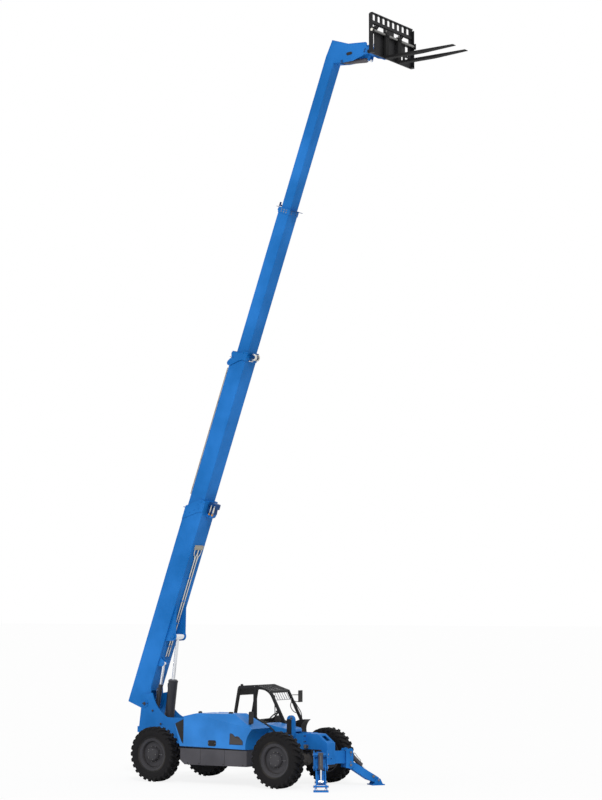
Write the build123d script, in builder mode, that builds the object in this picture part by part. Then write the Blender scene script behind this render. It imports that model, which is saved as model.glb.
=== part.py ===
from build123d import *
import math
import os

# Four-section telescopic handler. X forward, Y to the left, Z up, millimetres.
# The ground is Z = 0. Fore-and-aft positions are measured from a datum ahead of the rear axle, which
# lies at mid_x; boom positions are (along, above) from the boom's pivot.

# --- driving dimensions -------------------------------------------------------------------------
rear_axle_x = -1850.0
wheelbase = 3655.0
track = 2130.0
tyre_radius = 665.0
tyre_width = 360.0
tread_width = 300.0
lug_height = 38.0
lugs_a_side = 20
rim_radius = 395.0
kingpin_y = 900.0
boom_angle = 69.8
pivot_x = -2790.0
pivot_z = 1840.0
running_gap = 0.08
slide_gap = 0.5
plate = 20.0

# boom sections: name, start, end (along), bottom, top (above), half width, wall
boom_sections = [
    ("boom_base", 330.0, 5332.0, 21.0, 574.0, 245.0, 10.0),
    ("boom_second", 4000.0, 9100.0, 90.0, 542.0, 215.0, 10.0),
    ("boom_third", 8050.0, 12850.0, 118.0, 448.0, 182.0, 9.0),
    ("boom_fly", 11800.0, 16700.0, 138.0, 414.0, 150.0, 8.0),
]
pad_length = 220.0
tail_length = 170.0
mouth_slant = 297.0
mouth_collar = 140.0
collar_thick = 10.0
pivot_pin_radius = 45.0
cylinder_pin_radius = 32.0

# lift cylinder: foot pin on the frame, eye on the boom
lift_foot = (-2280.0, 1350.0)
lift_eye = (1842.0, -158.0)
lift_barrel_radius = 117.0
lift_barrel_length = 1075.0
lift_rod_radius = 43.0

# self-levelling cylinder between frame and boom
level_y = -150.0
level_foot = (-2540.0, 1670.0)
level_eye = (1100.0, -88.0)
level_barrel_radius = 54.0
level_barrel_length = 650.0
level_rod_radius = 33.0

# boom head and attachment
head_pivot = (17051.0, -749.0)
tilt_foot = (16652.0, -86.0)
tilt_lever = (-35.0, -195.0)
tilt_barrel_radius = 50.0
tilt_barrel_length = 560.0
tilt_rod_overlap = 270.0
carriage_x = 4330.0
carriage_bottom = 17250.0
carriage_height = 1020.0
carriage_half_width = 950.0
fork_length = 1900.0
fork_sides = (-320.0, 245.0)

# front stabilisers: beams and legs splay forward from the machine's side, ahead of the front axle
stabiliser_root = (890.0, 590.0)
splay = 34.5
leg_pivot_z = 500.0
leg_reach = 720.0
foot_pin_z = 121.0
stabiliser_top_z = 800.0

os.makedirs("parts", exist_ok=True)

# --- frames of reference ------------------------------------------------------------------------
# the origin lies midway between the boom's tail and the forks' tips
boom_top = boom_sections[0][4]
fork_heel = 60.0
tail_reach = (pivot_x - tail_length * math.cos(math.radians(boom_angle))
              - boom_top * math.sin(math.radians(boom_angle)))
tip_reach = carriage_x + fork_heel + fork_length
mid_x = -(tail_reach + tip_reach) / 2
front_axle_x = rear_axle_x + wheelbase
machine_side = Plane(origin=(mid_x, 0, 0), x_dir=(1, 0, 0), z_dir=(0, -1, 0))
cosine = math.cos(math.radians(boom_angle))
sine = math.sin(math.radians(boom_angle))
boom_origin = (mid_x + pivot_x, 0, pivot_z)
boom_side = Plane(origin=boom_origin, x_dir=(cosine, 0, sine), z_dir=(0, -1, 0))


def boom_point(along, above):
    """Machine coordinates (forward of the axles' midpoint, height) of a point given on the boom."""
    return (
        pivot_x + along * cosine - above * sine,
        pivot_z + along * sine + above * cosine,
    )


def ahead(outline, start):
    """The same outline, arcs included, with its fore-and-aft positions counted from start."""
    return [
        tuple((x + start, z) for x, z in entry)
        if isinstance(entry[0], tuple)
        else (entry[0] + start, entry[1])
        for entry in outline
    ]


# --- shapes that repeat -------------------------------------------------------------------------
def trace(outline, radius=0.0):
    """Draw a closed outline; an entry of two points is an arc through the first to the second."""
    if radius > 0:
        FilletPolyline(*outline, radius=radius, close=True)
        return
    place = outline[0]
    for entry in outline[1:] + outline[:1]:
        if isinstance(entry[0], tuple):
            ThreePointArc(place, *entry)
            place = entry[1]
        else:
            Line(place, entry)
            place = entry


def slab(side, outline, y_from, y_to, radius=0.0, mode=Mode.ADD):
    """A flat piece: its outline lies in a side view and it runs from y_from to y_to."""
    with BuildSketch(side.offset(-y_from)) as face:
        with BuildLine():
            trace(outline, radius)
        make_face()
    extrude(face.sketch, amount=y_from - y_to, mode=mode)


def pair(side, outline, inner, outer, radius=0.0, mode=Mode.ADD):
    """The same flat piece on the left and on the right, between inner and outer half width."""
    slab(side, outline, inner, outer, radius, mode)
    slab(side, outline, -outer, -inner, radius, mode)


def block(x_span, y_span, z_span, mode=Mode.ADD):
    """A box given by its spans; x is measured from the axles' midpoint."""
    spans = ((x_span[0] + mid_x, x_span[1] + mid_x), y_span, z_span)
    with Locations(tuple((low + high) / 2 for low, high in spans)):
        Box(*(high - low for low, high in spans), mode=mode)


def pin(side, place, radius, y_from, y_to, mode=Mode.ADD):
    """A round piece across the machine at a point of a side view."""
    with BuildSketch(side.offset(-y_from)) as face:
        with Locations(place):
            Circle(radius)
    extrude(face.sketch, amount=y_from - y_to, mode=mode)


def bar(start, end, width, depth, mode=Mode.ADD):
    """A square bar between two points, x measured from the axles' midpoint."""
    first = Vector(start[0] + mid_x, start[1], start[2])
    last = Vector(end[0] + mid_x, end[1], end[2])
    run = last - first
    with BuildSketch(Plane(origin=first, x_dir=(0, 1, 0) if abs(run.Y) < 0.5 * run.length else (1, 0, 0),
                           z_dir=run)) as face:
        Rectangle(width, depth)
    extrude(face.sketch, amount=run.length, mode=mode)


def tube(start, end, radius, mode=Mode.ADD):
    """A round bar between two points, x measured from the axles' midpoint."""
    first = Vector(start[0] + mid_x, start[1], start[2])
    last = Vector(end[0] + mid_x, end[1], end[2])
    run = last - first
    with BuildSketch(Plane(origin=first, z_dir=run)) as face:
        Circle(radius)
    extrude(face.sketch, amount=run.length, mode=mode)


def turned(x, z, outline, mode=Mode.ADD):
    """A piece turned about a crosswise axle; its outline holds (radius, y) points."""
    centre = (x + mid_x, 0, z)
    with BuildSketch(Plane(origin=centre, x_dir=(1, 0, 0), z_dir=(0, 0, 1))) as face:
        with BuildLine():
            Polyline(*outline, close=True)
        make_face()
    revolve(face.sketch, axis=Axis(centre, (0, 1, 0)), mode=mode)


def write(piece, name):
    """Label a finished piece and write it as a STEP file of that name."""
    write_solid(piece.part, name)


def write_solid(solid, name):
    """Label a solid and write it as a STEP file of that name."""
    solid.label = name
    export_step(solid, f"parts/{name}.step")


# --- main frame: two long side plates whose rear ends rise to carry the boom ---------------------
frame_inner = 285.0
frame_outer = 310.0
frame_front = front_axle_x + 175.0
tie_hole = (-2880.0, 760.0)
tie_hole_radius = 30.0
hood_inner = -420.0
hood_outer = -1150.0
hood_wall = 12.0
hood_roof = 1690.0
hood_hinge = (hood_inner + 16.0, hood_roof - 6.0)
hinge_radius = 14.0
hinge_pin_radius = 7.0
hood_arm_x = (-420.0, -80.0)
hood_arm_length = 60.0
wall_gap = 0.3
tower_base_z = 1170.0
frame_outline = [
    (-2980, 640), (-2980, 1280), (-2915, 1780), (-2850, 2060), (-2560, 2110),
    ((-2425, 1800), (-2083, 1515)), (-1350, 1515), (-900, 1250), (frame_front, 1250), (frame_front, 880),
    (front_axle_x - 430, 880), (front_axle_x - 600, 560), (-1250, 560), (-1420, 880), (-2350, 880),
    (-2480, 640),
]
tower = ahead(
    [(-245, tower_base_z), (-245, 1575), ((-140, 1672), (-35, 1575)), (-35, tower_base_z)],
    front_axle_x,
)
with BuildPart() as chassis_frame:
    pair(machine_side, frame_outline, frame_inner, frame_outer)
    pin(machine_side, (pivot_x, pivot_z), 95, frame_outer, frame_outer + 14)
    pin(machine_side, (pivot_x, pivot_z), 95, -frame_outer - 14, -frame_outer)
    pin(machine_side, (pivot_x, pivot_z), pivot_pin_radius, -frame_outer - 34, frame_outer + 34)
    pin(machine_side, lift_foot, cylinder_pin_radius, -frame_outer - 16, frame_outer + 16)
    pin(machine_side, level_foot, 24, -frame_outer - 16, -60)
    pin(machine_side, tie_hole, tie_hole_radius, -frame_outer - 1, frame_outer + 1, mode=Mode.SUBTRACT)
    slab(machine_side, [(-2620, 1560), (-2620, 1720), (-2470, 1720), (-2470, 1100), (-2560, 1100)], -80, -60)
    block((-2980, -2960), (-frame_inner, frame_inner), (640, 1400))
    block((-2640, -2470), (-frame_inner, frame_inner), (1080, 1100))
    block((-1440, -1400), (-frame_inner, frame_inner), (880, 1150))
    block((front_axle_x - 450, front_axle_x - 410), (-frame_inner, frame_inner), (880, 1230))
    block((frame_front - 40, frame_front), (-frame_inner, frame_inner), (880, 1230))
    block((-1250, front_axle_x - 600), (-frame_inner, frame_inner), (560, 575))
    for axle_x in (rear_axle_x, front_axle_x):
        block((axle_x - 130, axle_x + 130), (-frame_inner, frame_inner), (880, 905))
    # the post that stands on the right-hand side plate over the front axle
    slab(machine_side, tower, -frame_outer - 40, -frame_inner + 5)
    pin(machine_side, (front_axle_x - 115, 1605), 22, -frame_outer - 42, -frame_inner + 7, mode=Mode.SUBTRACT)
    # two arms that carry the hood's hinge pin
    hinge_y, hinge_z = hood_hinge
    for arm_x in hood_arm_x:
        span = (arm_x, arm_x + hood_arm_length)
        arm_top = hood_roof - hood_wall - wall_gap
        block(span, (-frame_outer - plate, -frame_outer), (1100, arm_top))
        block(span, (hood_inner - plate, -frame_outer), (arm_top - plate, arm_top))
        block(span, (hinge_y - hinge_radius, hinge_y + hinge_radius), (arm_top - plate, hinge_z))
        tube((span[0], hinge_y, hinge_z), (span[1], hinge_y, hinge_z), hinge_radius)
    hinge_end = hood_arm_x[1] + hood_arm_length
    tube((hood_arm_x[0], hinge_y, hinge_z), (hinge_end, hinge_y, hinge_z), hinge_pin_radius)
write(chassis_frame, "chassis_frame")

with BuildPart() as rear_step:
    block((-3040, -2980), (-300, 300), (1120, 1270))
write(rear_step, "rear_step")

# --- front frame with the stabilisers' beams -----------------------------------------------------
root_x = front_axle_x + stabiliser_root[0]
root_y = stabiliser_root[1]
splay_sine = math.sin(math.radians(splay))
splay_cosine = math.cos(math.radians(splay))


def leg_plane(side):
    """The upright plane in which one stabiliser's leg swings: local x outward, local y up."""
    return Plane(
        origin=(root_x + mid_x, side * root_y, 0),
        x_dir=(splay_sine, side * splay_cosine, 0),
        z_dir=Vector(splay_sine, side * splay_cosine, 0).cross(Vector(0, 0, 1)),
    )


def leg_slab(side, outline, from_side, to_side, mode=Mode.ADD):
    """A flat piece whose outline lies in a leg's upright plane, between two offsets across it."""
    with BuildSketch(leg_plane(side).offset(from_side)) as face:
        with BuildLine():
            trace(outline)
        make_face()
    extrude(face.sketch, amount=to_side - from_side, mode=mode)


def leg_pin(side, place, radius, from_side, to_side, mode=Mode.ADD):
    """A round piece across a leg's plane."""
    with BuildSketch(leg_plane(side).offset(from_side)) as face:
        with Locations(place):
            Circle(radius)
    extrude(face.sketch, amount=to_side - from_side, mode=mode)


bracket_half = 165.0
bracket_plate = 20.0
nose_front = front_axle_x + 795.0
nose_half = 170.0
tow_hole_z = 660.0
tow_hole_radius = 22.0
nose = ahead(
    [(175, 880), (175, 1250), (525, 1240), (795, 1030), (795, 530), (715, 530), (625, 880)],
    front_axle_x,
)
bracket = [
    (-120, 430), (-120, 840), ((-80, 880), (-40, 880)), ((0, 895), (60, 860)), (70, 470),
    ((0, 420), (-60, 430)),
]
with BuildPart() as front_frame:
    pair(machine_side, nose, nose_half - plate, nose_half)
    block((frame_front, frame_front + 30), (-frame_outer, frame_outer), (880, 1250))
    block((nose_front - plate, nose_front), (plate - nose_half, nose_half - plate), (530, 1035))
    with BuildSketch(Plane.YZ.offset(nose_front - 40 + mid_x)) as hole:
        with Locations((0, tow_hole_z)):
            Circle(tow_hole_radius)
    extrude(hole.sketch, amount=50, mode=Mode.SUBTRACT)
    # the cover between the side plates, level and then sloping, with an opening in its slope
    cover = [(195, 1230), (195, 1250), (525, 1240), (795, 1030), (795, 1005), (520, 1218)]
    slab(machine_side, ahead(cover, front_axle_x), plate - nose_half, nose_half - plate)
    slab(machine_side, ahead([(560, 1100), (560, 1300), (720, 1300), (720, 1000)], front_axle_x), -90, 90,
         mode=Mode.SUBTRACT)
    # box beams that carry the brackets' inner ends along both sides of the nose
    for side in (-1, 1):
        leg_slab(side, [(-760, 540), (-760, 830), (-100, 830), (-100, 540)], -90, 90)
        leg_slab(side, bracket, bracket_half - bracket_plate, bracket_half)
        leg_slab(side, bracket, -bracket_half, bracket_plate - bracket_half)
        leg_slab(side, [(-120, 440), (-120, 840), (-100, 840), (-100, 440)], -bracket_half, bracket_half)
        leg_pin(side, (0, leg_pivot_z), 25, -bracket_half - 12, bracket_half + 12)
        leg_pin(side, (0, stabiliser_top_z), 25, -bracket_half - 12, bracket_half + 12)
        leg_pin(side, (0, leg_pivot_z), 48, bracket_half, bracket_half + 8)
        leg_pin(side, (0, stabiliser_top_z), 42, bracket_half, bracket_half + 8)
write(front_frame, "front_frame")

# --- stabilisers ----------------------------------------------------------------------------------
stay_foot = (600.0, 215.0)
stay_run = math.hypot(stay_foot[0], stabiliser_top_z - stay_foot[1])
stay_unit = (stay_foot[0] / stay_run, (stay_foot[1] - stabiliser_top_z) / stay_run)
stay_barrel = 465.0
stay_radius = 55.0
stay_rod_radius = 25.0
stay_overlap = 60.0


def stay_point(distance):
    """A point of the stabiliser cylinder's centre line, by its distance from the upper pin."""
    return (stay_unit[0] * distance, stabiliser_top_z + stay_unit[1] * distance)


def stay_plane(side, distance):
    """A plane square to the stabiliser cylinder at a distance from its upper pin."""
    flat = leg_plane(side)
    place = stay_point(distance)
    return Plane(
        origin=flat.from_local_coords(Vector(place[0], place[1], 0)),
        x_dir=flat.z_dir,
        z_dir=flat.x_dir * stay_unit[0] + Vector(0, 0, 1) * stay_unit[1],
    )


for side, name in ((1, "left"), (-1, "right")):
    with BuildPart() as leg:
        cheek = [(-60, 440), (-60, 560), (40, 600), (735, 190), (780, 110), (690, 60), (480, 130), (30, 420)]
        for from_side, to_side in ((100, 120), (-120, -100)):
            leg_slab(side, cheek, from_side, to_side)
        leg_slab(side, [(60, 410), (480, 132), (480, 152), (60, 430)], -100, 100)
        leg_pin(side, (0, leg_pivot_z), 50, -120, 120)
        leg_pin(side, (0, leg_pivot_z), 25 + running_gap, -120, 120, mode=Mode.SUBTRACT)
        leg_pin(side, (leg_reach, foot_pin_z), 22, -170, 170)
    write(leg, f"stabiliser_leg_{name}")

    with BuildPart() as foot:
        for from_side, to_side in ((126, 146), (-146, -126)):
            leg_slab(side, [(600, 25), (670, 160), (770, 160), (840, 25)], from_side, to_side)
            leg_pin(side, (leg_reach, foot_pin_z), 22 + running_gap, from_side, to_side, mode=Mode.SUBTRACT)
        leg_slab(side, [(560, 0), (560, 25), (880, 25), (880, 0)], -175, 175)
    write(foot, f"stabiliser_foot_{name}")

    with BuildPart() as barrel:
        leg_pin(side, (0, stabiliser_top_z), 48, -60, 60)
        with BuildSketch(stay_plane(side, 30)) as section:
            Circle(stay_radius)
        extrude(amount=stay_barrel - 30)
        leg_pin(side, (0, stabiliser_top_z), 25 + running_gap, -60, 60, mode=Mode.SUBTRACT)
        with BuildSketch(stay_plane(side, 80)) as section:
            Circle(stay_rod_radius + slide_gap)
        extrude(amount=stay_barrel, mode=Mode.SUBTRACT)
    write(barrel, f"stabiliser_barrel_{name}")

    with BuildPart() as rod:
        with BuildSketch(stay_plane(side, stay_barrel - stay_overlap)) as section:
            Circle(stay_rod_radius)
        extrude(amount=stay_run - stay_barrel + stay_overlap)
        leg_pin(side, stay_foot, 42, -60, 60)
    write(rod, f"stabiliser_rod_{name}")

# --- axles, steering knuckles and wheels -----------------------------------------------------------
yoke_inner = 760.0
yoke_half = 165.0
knuckle_half = 130.0
hub_face = track / 2 - 70
hub_flange_radius = 125.0
spindle_end = track / 2 + 10
spindle_radius = 40.0
kingpin_radius = 28.0


def upright(x, y, low, tall, radius, mode=Mode.ADD):
    """A round upright piece, x measured like every fore-and-aft position."""
    with BuildSketch(Plane.XY.offset(low)) as section:
        with Locations((x + mid_x, y)):
            Circle(radius)
    extrude(section.sketch, amount=tall, mode=mode)


for end_name, axle_x in (("rear", rear_axle_x), ("front", front_axle_x)):
    with BuildPart() as axle:
        turned(axle_x, tyre_radius, [
            (0, -yoke_inner), (90, -yoke_inner), (105, -300), (190, -150),
            (190, 150), (105, 300), (90, yoke_inner), (0, yoke_inner),
        ])
        for side in (-1, 1):
            spread = sorted((side * (yoke_inner - 30), side * yoke_inner))
            block((axle_x - 75, axle_x + 75), spread, (tyre_radius - yoke_half, tyre_radius + yoke_half))
            reach = sorted((side * yoke_inner, side * (hub_face - 55)))
            for low in (tyre_radius - yoke_half, tyre_radius + yoke_half - 30):
                block((axle_x - 65, axle_x + 65), reach, (low, low + 30))
            upright(axle_x, side * kingpin_y, tyre_radius - yoke_half, 2 * yoke_half, kingpin_radius)
        block((axle_x - 130, axle_x + 130), (-100, 100), (tyre_radius + 150, 880))
    write(axle, f"{end_name}_axle")

    for side, side_name in ((1, "left"), (-1, "right")):
        with BuildPart() as knuckle:
            upright(axle_x, side * kingpin_y, tyre_radius - knuckle_half, 2 * knuckle_half, 60)
            turned(axle_x, tyre_radius, [
                (0, side * kingpin_y), (95, side * kingpin_y), (95, side * (hub_face - 45)),
                (hub_flange_radius, side * (hub_face - 45)), (hub_flange_radius, side * hub_face),
                (spindle_radius, side * hub_face),
                (spindle_radius, side * spindle_end), (0, side * spindle_end),
            ])
            upright(axle_x, side * kingpin_y, tyre_radius - knuckle_half - 9, 2 * knuckle_half + 18,
                    kingpin_radius + running_gap, mode=Mode.SUBTRACT)
        write(knuckle, f"knuckle_{end_name}_{side_name}")

# one rim and one tyre are made about the origin, with y outboard, and placed four times
rim_half = 125.0
flange_radius = rim_radius + 25.0
nut_face = 53.0
nut_circle = 185.0
nut_count = 10
tyre_half = tyre_width / 2
tread_root = tyre_radius - lug_height
shoulder_radius = 570.0
lug_reach = tyre_half - 14.0
lug_overlap = 15.0
seat_radius = (rim_radius + wall_gap) / math.cos(math.pi / lugs_a_side / 2)

with BuildPart() as rim:
    turned(-mid_x, 0, [
        # hub and disc from inside
        (spindle_radius + running_gap, -60), (110, -60), (110, nut_face - 23), (120, nut_face - 12),
        (318, nut_face - 12), (327, 84), (340, 102), (rim_radius - 12, 110), (rim_radius - 12, -rim_half),
        # inner flange, the tyre's seat and the outer flange
        (rim_radius + 3, -rim_half - 17), (flange_radius - 6, -rim_half - 17), (flange_radius, -rim_half - 7),
        (rim_radius, 3 - rim_half), (rim_radius, rim_half - 3), (flange_radius, rim_half + 7),
        (flange_radius - 6, rim_half + 17), (rim_radius + 5, rim_half + 17), (rim_radius - 7, rim_half - 1),
        # stepped face, dish and hub cap
        (345, 114), (336, 122), (324, 116), (313, 88), (305, nut_face + 3), (205, nut_face), (169, nut_face),
        (166, 105), (145, 146), (95, 162), (0, 167), (0, 15), (spindle_radius + running_gap, 15),
    ])
    with BuildSketch(Plane(origin=(0, nut_face, 0), x_dir=(1, 0, 0), z_dir=(0, 1, 0))) as nuts:
        with PolarLocations(nut_circle, nut_count):
            RegularPolygon(15, 6)
    extrude(amount=20)


def facet_ring(radius, y):
    """A flat many-sided ring section across the axle, two sides to each pair of tread bars."""
    with BuildSketch(Plane(origin=(0, y, 0), x_dir=(1, 0, 0), z_dir=(0, 1, 0))) as face:
        RegularPolygon(radius, 2 * lugs_a_side)
    return face.sketch


with BuildPart() as tyre:
    extrude(facet_ring(tread_root, -tread_width / 2), amount=tread_width)
    for side in (-1, 1):
        edge = facet_ring(tread_root, side * tread_width / 2)
        loft([edge, facet_ring(shoulder_radius, side * tyre_half)], ruled=True)
        bead = facet_ring(seat_radius, side * (rim_half - 3.5))
        loft([bead, facet_ring(shoulder_radius - 30, side * tyre_half)], ruled=True, mode=Mode.SUBTRACT)
    extrude(facet_ring(seat_radius, -tyre_half), amount=tyre_width, mode=Mode.SUBTRACT)
    # the tread's bars stand on every other facet, those of the right half between those of the left
    for first, y_from, y_to in ((0, -lug_overlap, lug_reach), (1, -lug_reach, lug_overlap)):
        with BuildSketch(Plane(origin=(0, y_from, 0), x_dir=(1, 0, 0), z_dir=(0, 1, 0))) as bars:
            for number in range(lugs_a_side):
                turns = [math.pi * (2 * number + first + edge) / lugs_a_side for edge in (0, 1)]
                foot = tread_root - 25
                corners = [
                    (foot, turns[0]), (tyre_radius, turns[0]), (tyre_radius, turns[1]), (foot, turns[1]),
                ]
                points = [(reach * math.cos(turn), reach * math.sin(turn)) for reach, turn in corners]
                with BuildLine():
                    Polyline(*points, close=True)
                make_face()
        extrude(amount=y_to - y_from)

for end_name, axle_x in (("rear", rear_axle_x), ("front", front_axle_x)):
    for side, side_name in ((1, "left"), (-1, "right")):
        place = Location((axle_x + mid_x, side * track / 2, tyre_radius))
        for shape, name in ((rim.part, "rim"), (tyre.part, "tyre")):
            turned_out = shape if side > 0 else mirror(shape, about=Plane.XZ)
            write_solid(turned_out.moved(place), f"{name}_{end_name}_{side_name}")

# --- engine side: hood, engine block, tank below -----------------------------------------------------
# the hood's side stands up to a crease that falls forward; above it the cover slopes in to the roof
crease_start = (-460.0, 1650.0)
crease_end = (1050.0, 1380.0)
crease_rise = 0.8
hood_shape = [
    (-1040, 885), (-1190, 1430), (-925, 1545), (-925, 1612), (-560, hood_roof), (430, hood_roof),
    (1120, 1366), ((990, 1200), (918, 866)),
]
hood_cavity = [
    (-1027, 860), (-1172, 1423), (-913, 1537), (-913, 1603), (-558, hood_roof - hood_wall),
    (425, hood_roof - hood_wall), (1098, 1361), ((976, 1200), (905, 860)),
]
wedge_vent = [(-1165, 1425), (-940, 1522), (-945, 1040)]
side_vent = [(510, 1040), (510, 1215), (590, 1205), (620, 1170), ((775, 1130), (790, 1040))]
vent_depth = 5.0
crease_run = Vector(crease_end[0] - crease_start[0], 0, crease_end[1] - crease_start[1])
crease_plane = Plane(
    origin=(crease_start[0] + mid_x, hood_outer, crease_start[1]),
    z_dir=crease_run.cross(Vector(0, 1, crease_rise)),
)


def hood_form(outline, y_outer, y_inner, inset):
    """A solid of the hood's form under its sloping cover, set in by the wall where it is the cavity."""
    with BuildPart() as form:
        slab(machine_side, outline, y_outer, y_inner)
        split(bisect_by=crease_plane.offset(-inset), keep=Keep.BOTTOM)
    return form.part


with BuildPart() as hood:
    add(hood_form(hood_shape, hood_outer, hood_inner, 0))
    add(hood_form(hood_cavity, hood_outer + hood_wall, hood_inner + 5, hood_wall), mode=Mode.SUBTRACT)
    for vent in (wedge_vent, side_vent):
        slab(machine_side, vent, hood_outer - 1, hood_outer + vent_depth, mode=Mode.SUBTRACT)
    barrel_start = hood_arm_x[0] + hood_arm_length + 10
    barrel_end = hood_arm_x[1] - 10
    tube((barrel_start, hinge_y, hinge_z), (barrel_end, hinge_y, hinge_z), hinge_radius)
    tube((barrel_start - 1, hinge_y, hinge_z), (barrel_end + 1, hinge_y, hinge_z),
         hinge_pin_radius + running_gap, mode=Mode.SUBTRACT)
write(hood, "hood")

with BuildPart() as hood_vents:
    for vent in (wedge_vent, side_vent):
        slab(machine_side, vent, hood_outer + 1, hood_outer + vent_depth)
write(hood_vents, "hood_vents")

with BuildPart() as engine:
    block((-700, 650), (-1020, -480), (850, 1350))
write(engine, "engine")

with BuildPart() as side_tank:
    tank = [(-900, 460), (-1030, 560), (-1030, 850), (950, 850), (950, 470)]
    slab(machine_side, tank, -1140, -frame_outer)
write(side_tank, "side_tank")

# --- cab side ------------------------------------------------------------------------------------------
cab_inner = 350.0
cab_outer = 1150.0
cab_sheet = 50.0
floor_top = 760.0
rear_post = ((-582, 1350), (-400, 2270))
roof_peak = (150, 2340)
front_post = ((1035, 1430), (600, 2205))
sill_front = (1035, 1350)
near_door = [
    (165, 1516), (140, 1560), (140, 2120), ((185, 2225), (290, 2240)), ((470, 2200), (605, 2085)),
    (945, 1470), (900, 1425), (560, 1420), (340, 1465),
]
with BuildPart() as cab_tub:
    floor = [(-620, 620), (-620, 1350), (-560, 1350), (-560, floor_top), (1000, floor_top), (1000, 620)]
    slab(machine_side, floor, cab_inner, cab_outer)
    slab(machine_side, [(950, 700), (950, 1180), (1000, 1200), (1000, 700)], cab_inner, cab_outer)
    block((-600, 950), (cab_inner, cab_inner + 30), (floor_top - plate, 1349.7))
    # the front mudguard, whose tip curves forward over the left-hand tyre
    guard = [(980, 1180), (980, 1470), (1060, 1500), (1240, 1505), ((1160, 1430), (1120, 1180))]
    slab(machine_side, guard, 900, cab_outer)
write(cab_tub, "cab_tub")

with BuildPart() as support:
    block((-900, 900), (frame_outer, cab_outer - 60), (470, 620))
write(support, "cab_support")

with BuildPart() as cab_frame:
    wall_shape = [
        rear_post[0], rear_post[1], (-355, 2310), roof_peak, front_post[1], front_post[0], sill_front,
    ]
    rear_pane = [(-510, 1420), (-345, 2240), (85, 2262), (85, 1500)]
    far_pane = [(-510, 1420), (-345, 2240), (140, 2285), (560, 2190), (970, 1440), (560, 1430), (150, 1500)]
    for inner, outer, panes in (
        (cab_inner, cab_inner + cab_sheet, (rear_pane, near_door)),
        (cab_outer - cab_sheet, cab_outer, (far_pane,)),
    ):
        slab(machine_side, wall_shape, inner, outer)
        for pane in panes:
            slab(machine_side, pane, inner - 1, outer + 1, mode=Mode.SUBTRACT)
    # header and rail of the rear wall, cross rail and plate of the roof, rail over the windscreen
    slab(machine_side, [(-422, 2075), (-385, 2260), (-355, 2260), (-395, 2075)], cab_inner, cab_outer)
    slab(machine_side, [(-582, 1350), (-572, 1400), (-520, 1400), (-530, 1350)], cab_inner, cab_outer)
    roof = [(-400, 2270), (-355, 2310), (110, 2335), (110, 2300), (-340, 2265)]
    slab(machine_side, roof, cab_inner, cab_outer)
    slab(machine_side, [(545, 2215), (600, 2205), (625, 2150), (590, 2150)], cab_inner, cab_outer)
    slab(machine_side, [(975, 1435), (1035, 1430), sill_front, (985, 1350)], cab_inner, cab_outer)
    add(cab_tub.part, mode=Mode.SUBTRACT)
write(cab_frame, "cab_frame")

# upright bars over the top of the windscreen, on a lower rail
grille_bars = 6
with BuildPart() as grille:
    grille_top = (607, 2149.7)
    grille_low = (700, 1985)
    low_x, low_z = grille_low
    rail_shape = [grille_low, (low_x + 14, low_z + 6), (low_x + 20, low_z - 6), (low_x + 6, low_z - 12)]
    slab(machine_side, rail_shape, cab_inner + cab_sheet + wall_gap, cab_outer - cab_sheet - wall_gap)
    gap = (cab_outer - cab_inner - 2 * cab_sheet) / (grille_bars + 1)
    for number in range(1, grille_bars + 1):
        y = cab_inner + cab_sheet + number * gap
        bar_shape = [grille_top, (grille_top[0] + 12, grille_top[1]), (low_x + 14, low_z + 6), grille_low]
        slab(machine_side, bar_shape, y - 7, y + 7)
write(grille, "cab_grille")

with BuildPart() as seat:
    block((-350, 130), (500, 980), (900, 1020))
    slab(machine_side, [(-350, 1020), (-440, 1480), (-350, 1500), (-230, 1020)], 530, 950)
write(seat, "seat")

with BuildPart() as seat_base:
    block((-300, 80), (560, 920), (floor_top, 899.7))
write(seat_base, "seat_base")

wheel_centre = (425.0, 750.0, 1520.0)
wheel_slope = (-0.75, 0.66)
column_foot = (wheel_centre[0] + 560 * -wheel_slope[0], wheel_centre[2] - 560 * wheel_slope[1])
with BuildPart() as steering:
    tube((column_foot[0], wheel_centre[1], column_foot[1]), wheel_centre, 30)
    console = (wheel_centre[1] - 80, wheel_centre[1] + 80)
    block((column_foot[0] - 60, 949.7), console, (floor_top, column_foot[1] + 60))
    wheel_plane = Plane(
        origin=(wheel_centre[0] + mid_x, *wheel_centre[1:]),
        z_dir=(wheel_slope[0], 0, wheel_slope[1]),
    )
    with BuildSketch(wheel_plane) as section:
        Circle(180)
        Circle(158, mode=Mode.SUBTRACT)
        Rectangle(330, 24)
        Circle(38)
    extrude(amount=24)
write(steering, "steering_wheel")

with BuildPart() as mirror_arm:
    tube((655, cab_outer + wall_gap, 2080), (655, cab_outer + 110, 2080), 9)
    tube((648, cab_outer + 103, 2080), (765, cab_outer + 180, 2080), 9)
    block((755, 785), (cab_outer + 150, cab_outer + 300), (1900, 2190))
write(mirror_arm, "mirror")

# --- boom ----------------------------------------------------------------------------------------------
def section_tube(start, end, bottom, top, half_width, wall, mode=Mode.ADD):
    """One hollow box section of the boom, between two places along it."""
    outer = [(start, bottom), (start, top), (end, top), (end, bottom)]
    inner = [
        (start - 1, bottom + wall), (start - 1, top - wall), (end + 1, top - wall), (end + 1, bottom + wall),
    ]
    slab(boom_side, outer, -half_width, half_width)
    slab(boom_side, inner, wall - half_width, half_width - wall, mode=Mode.SUBTRACT)


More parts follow.
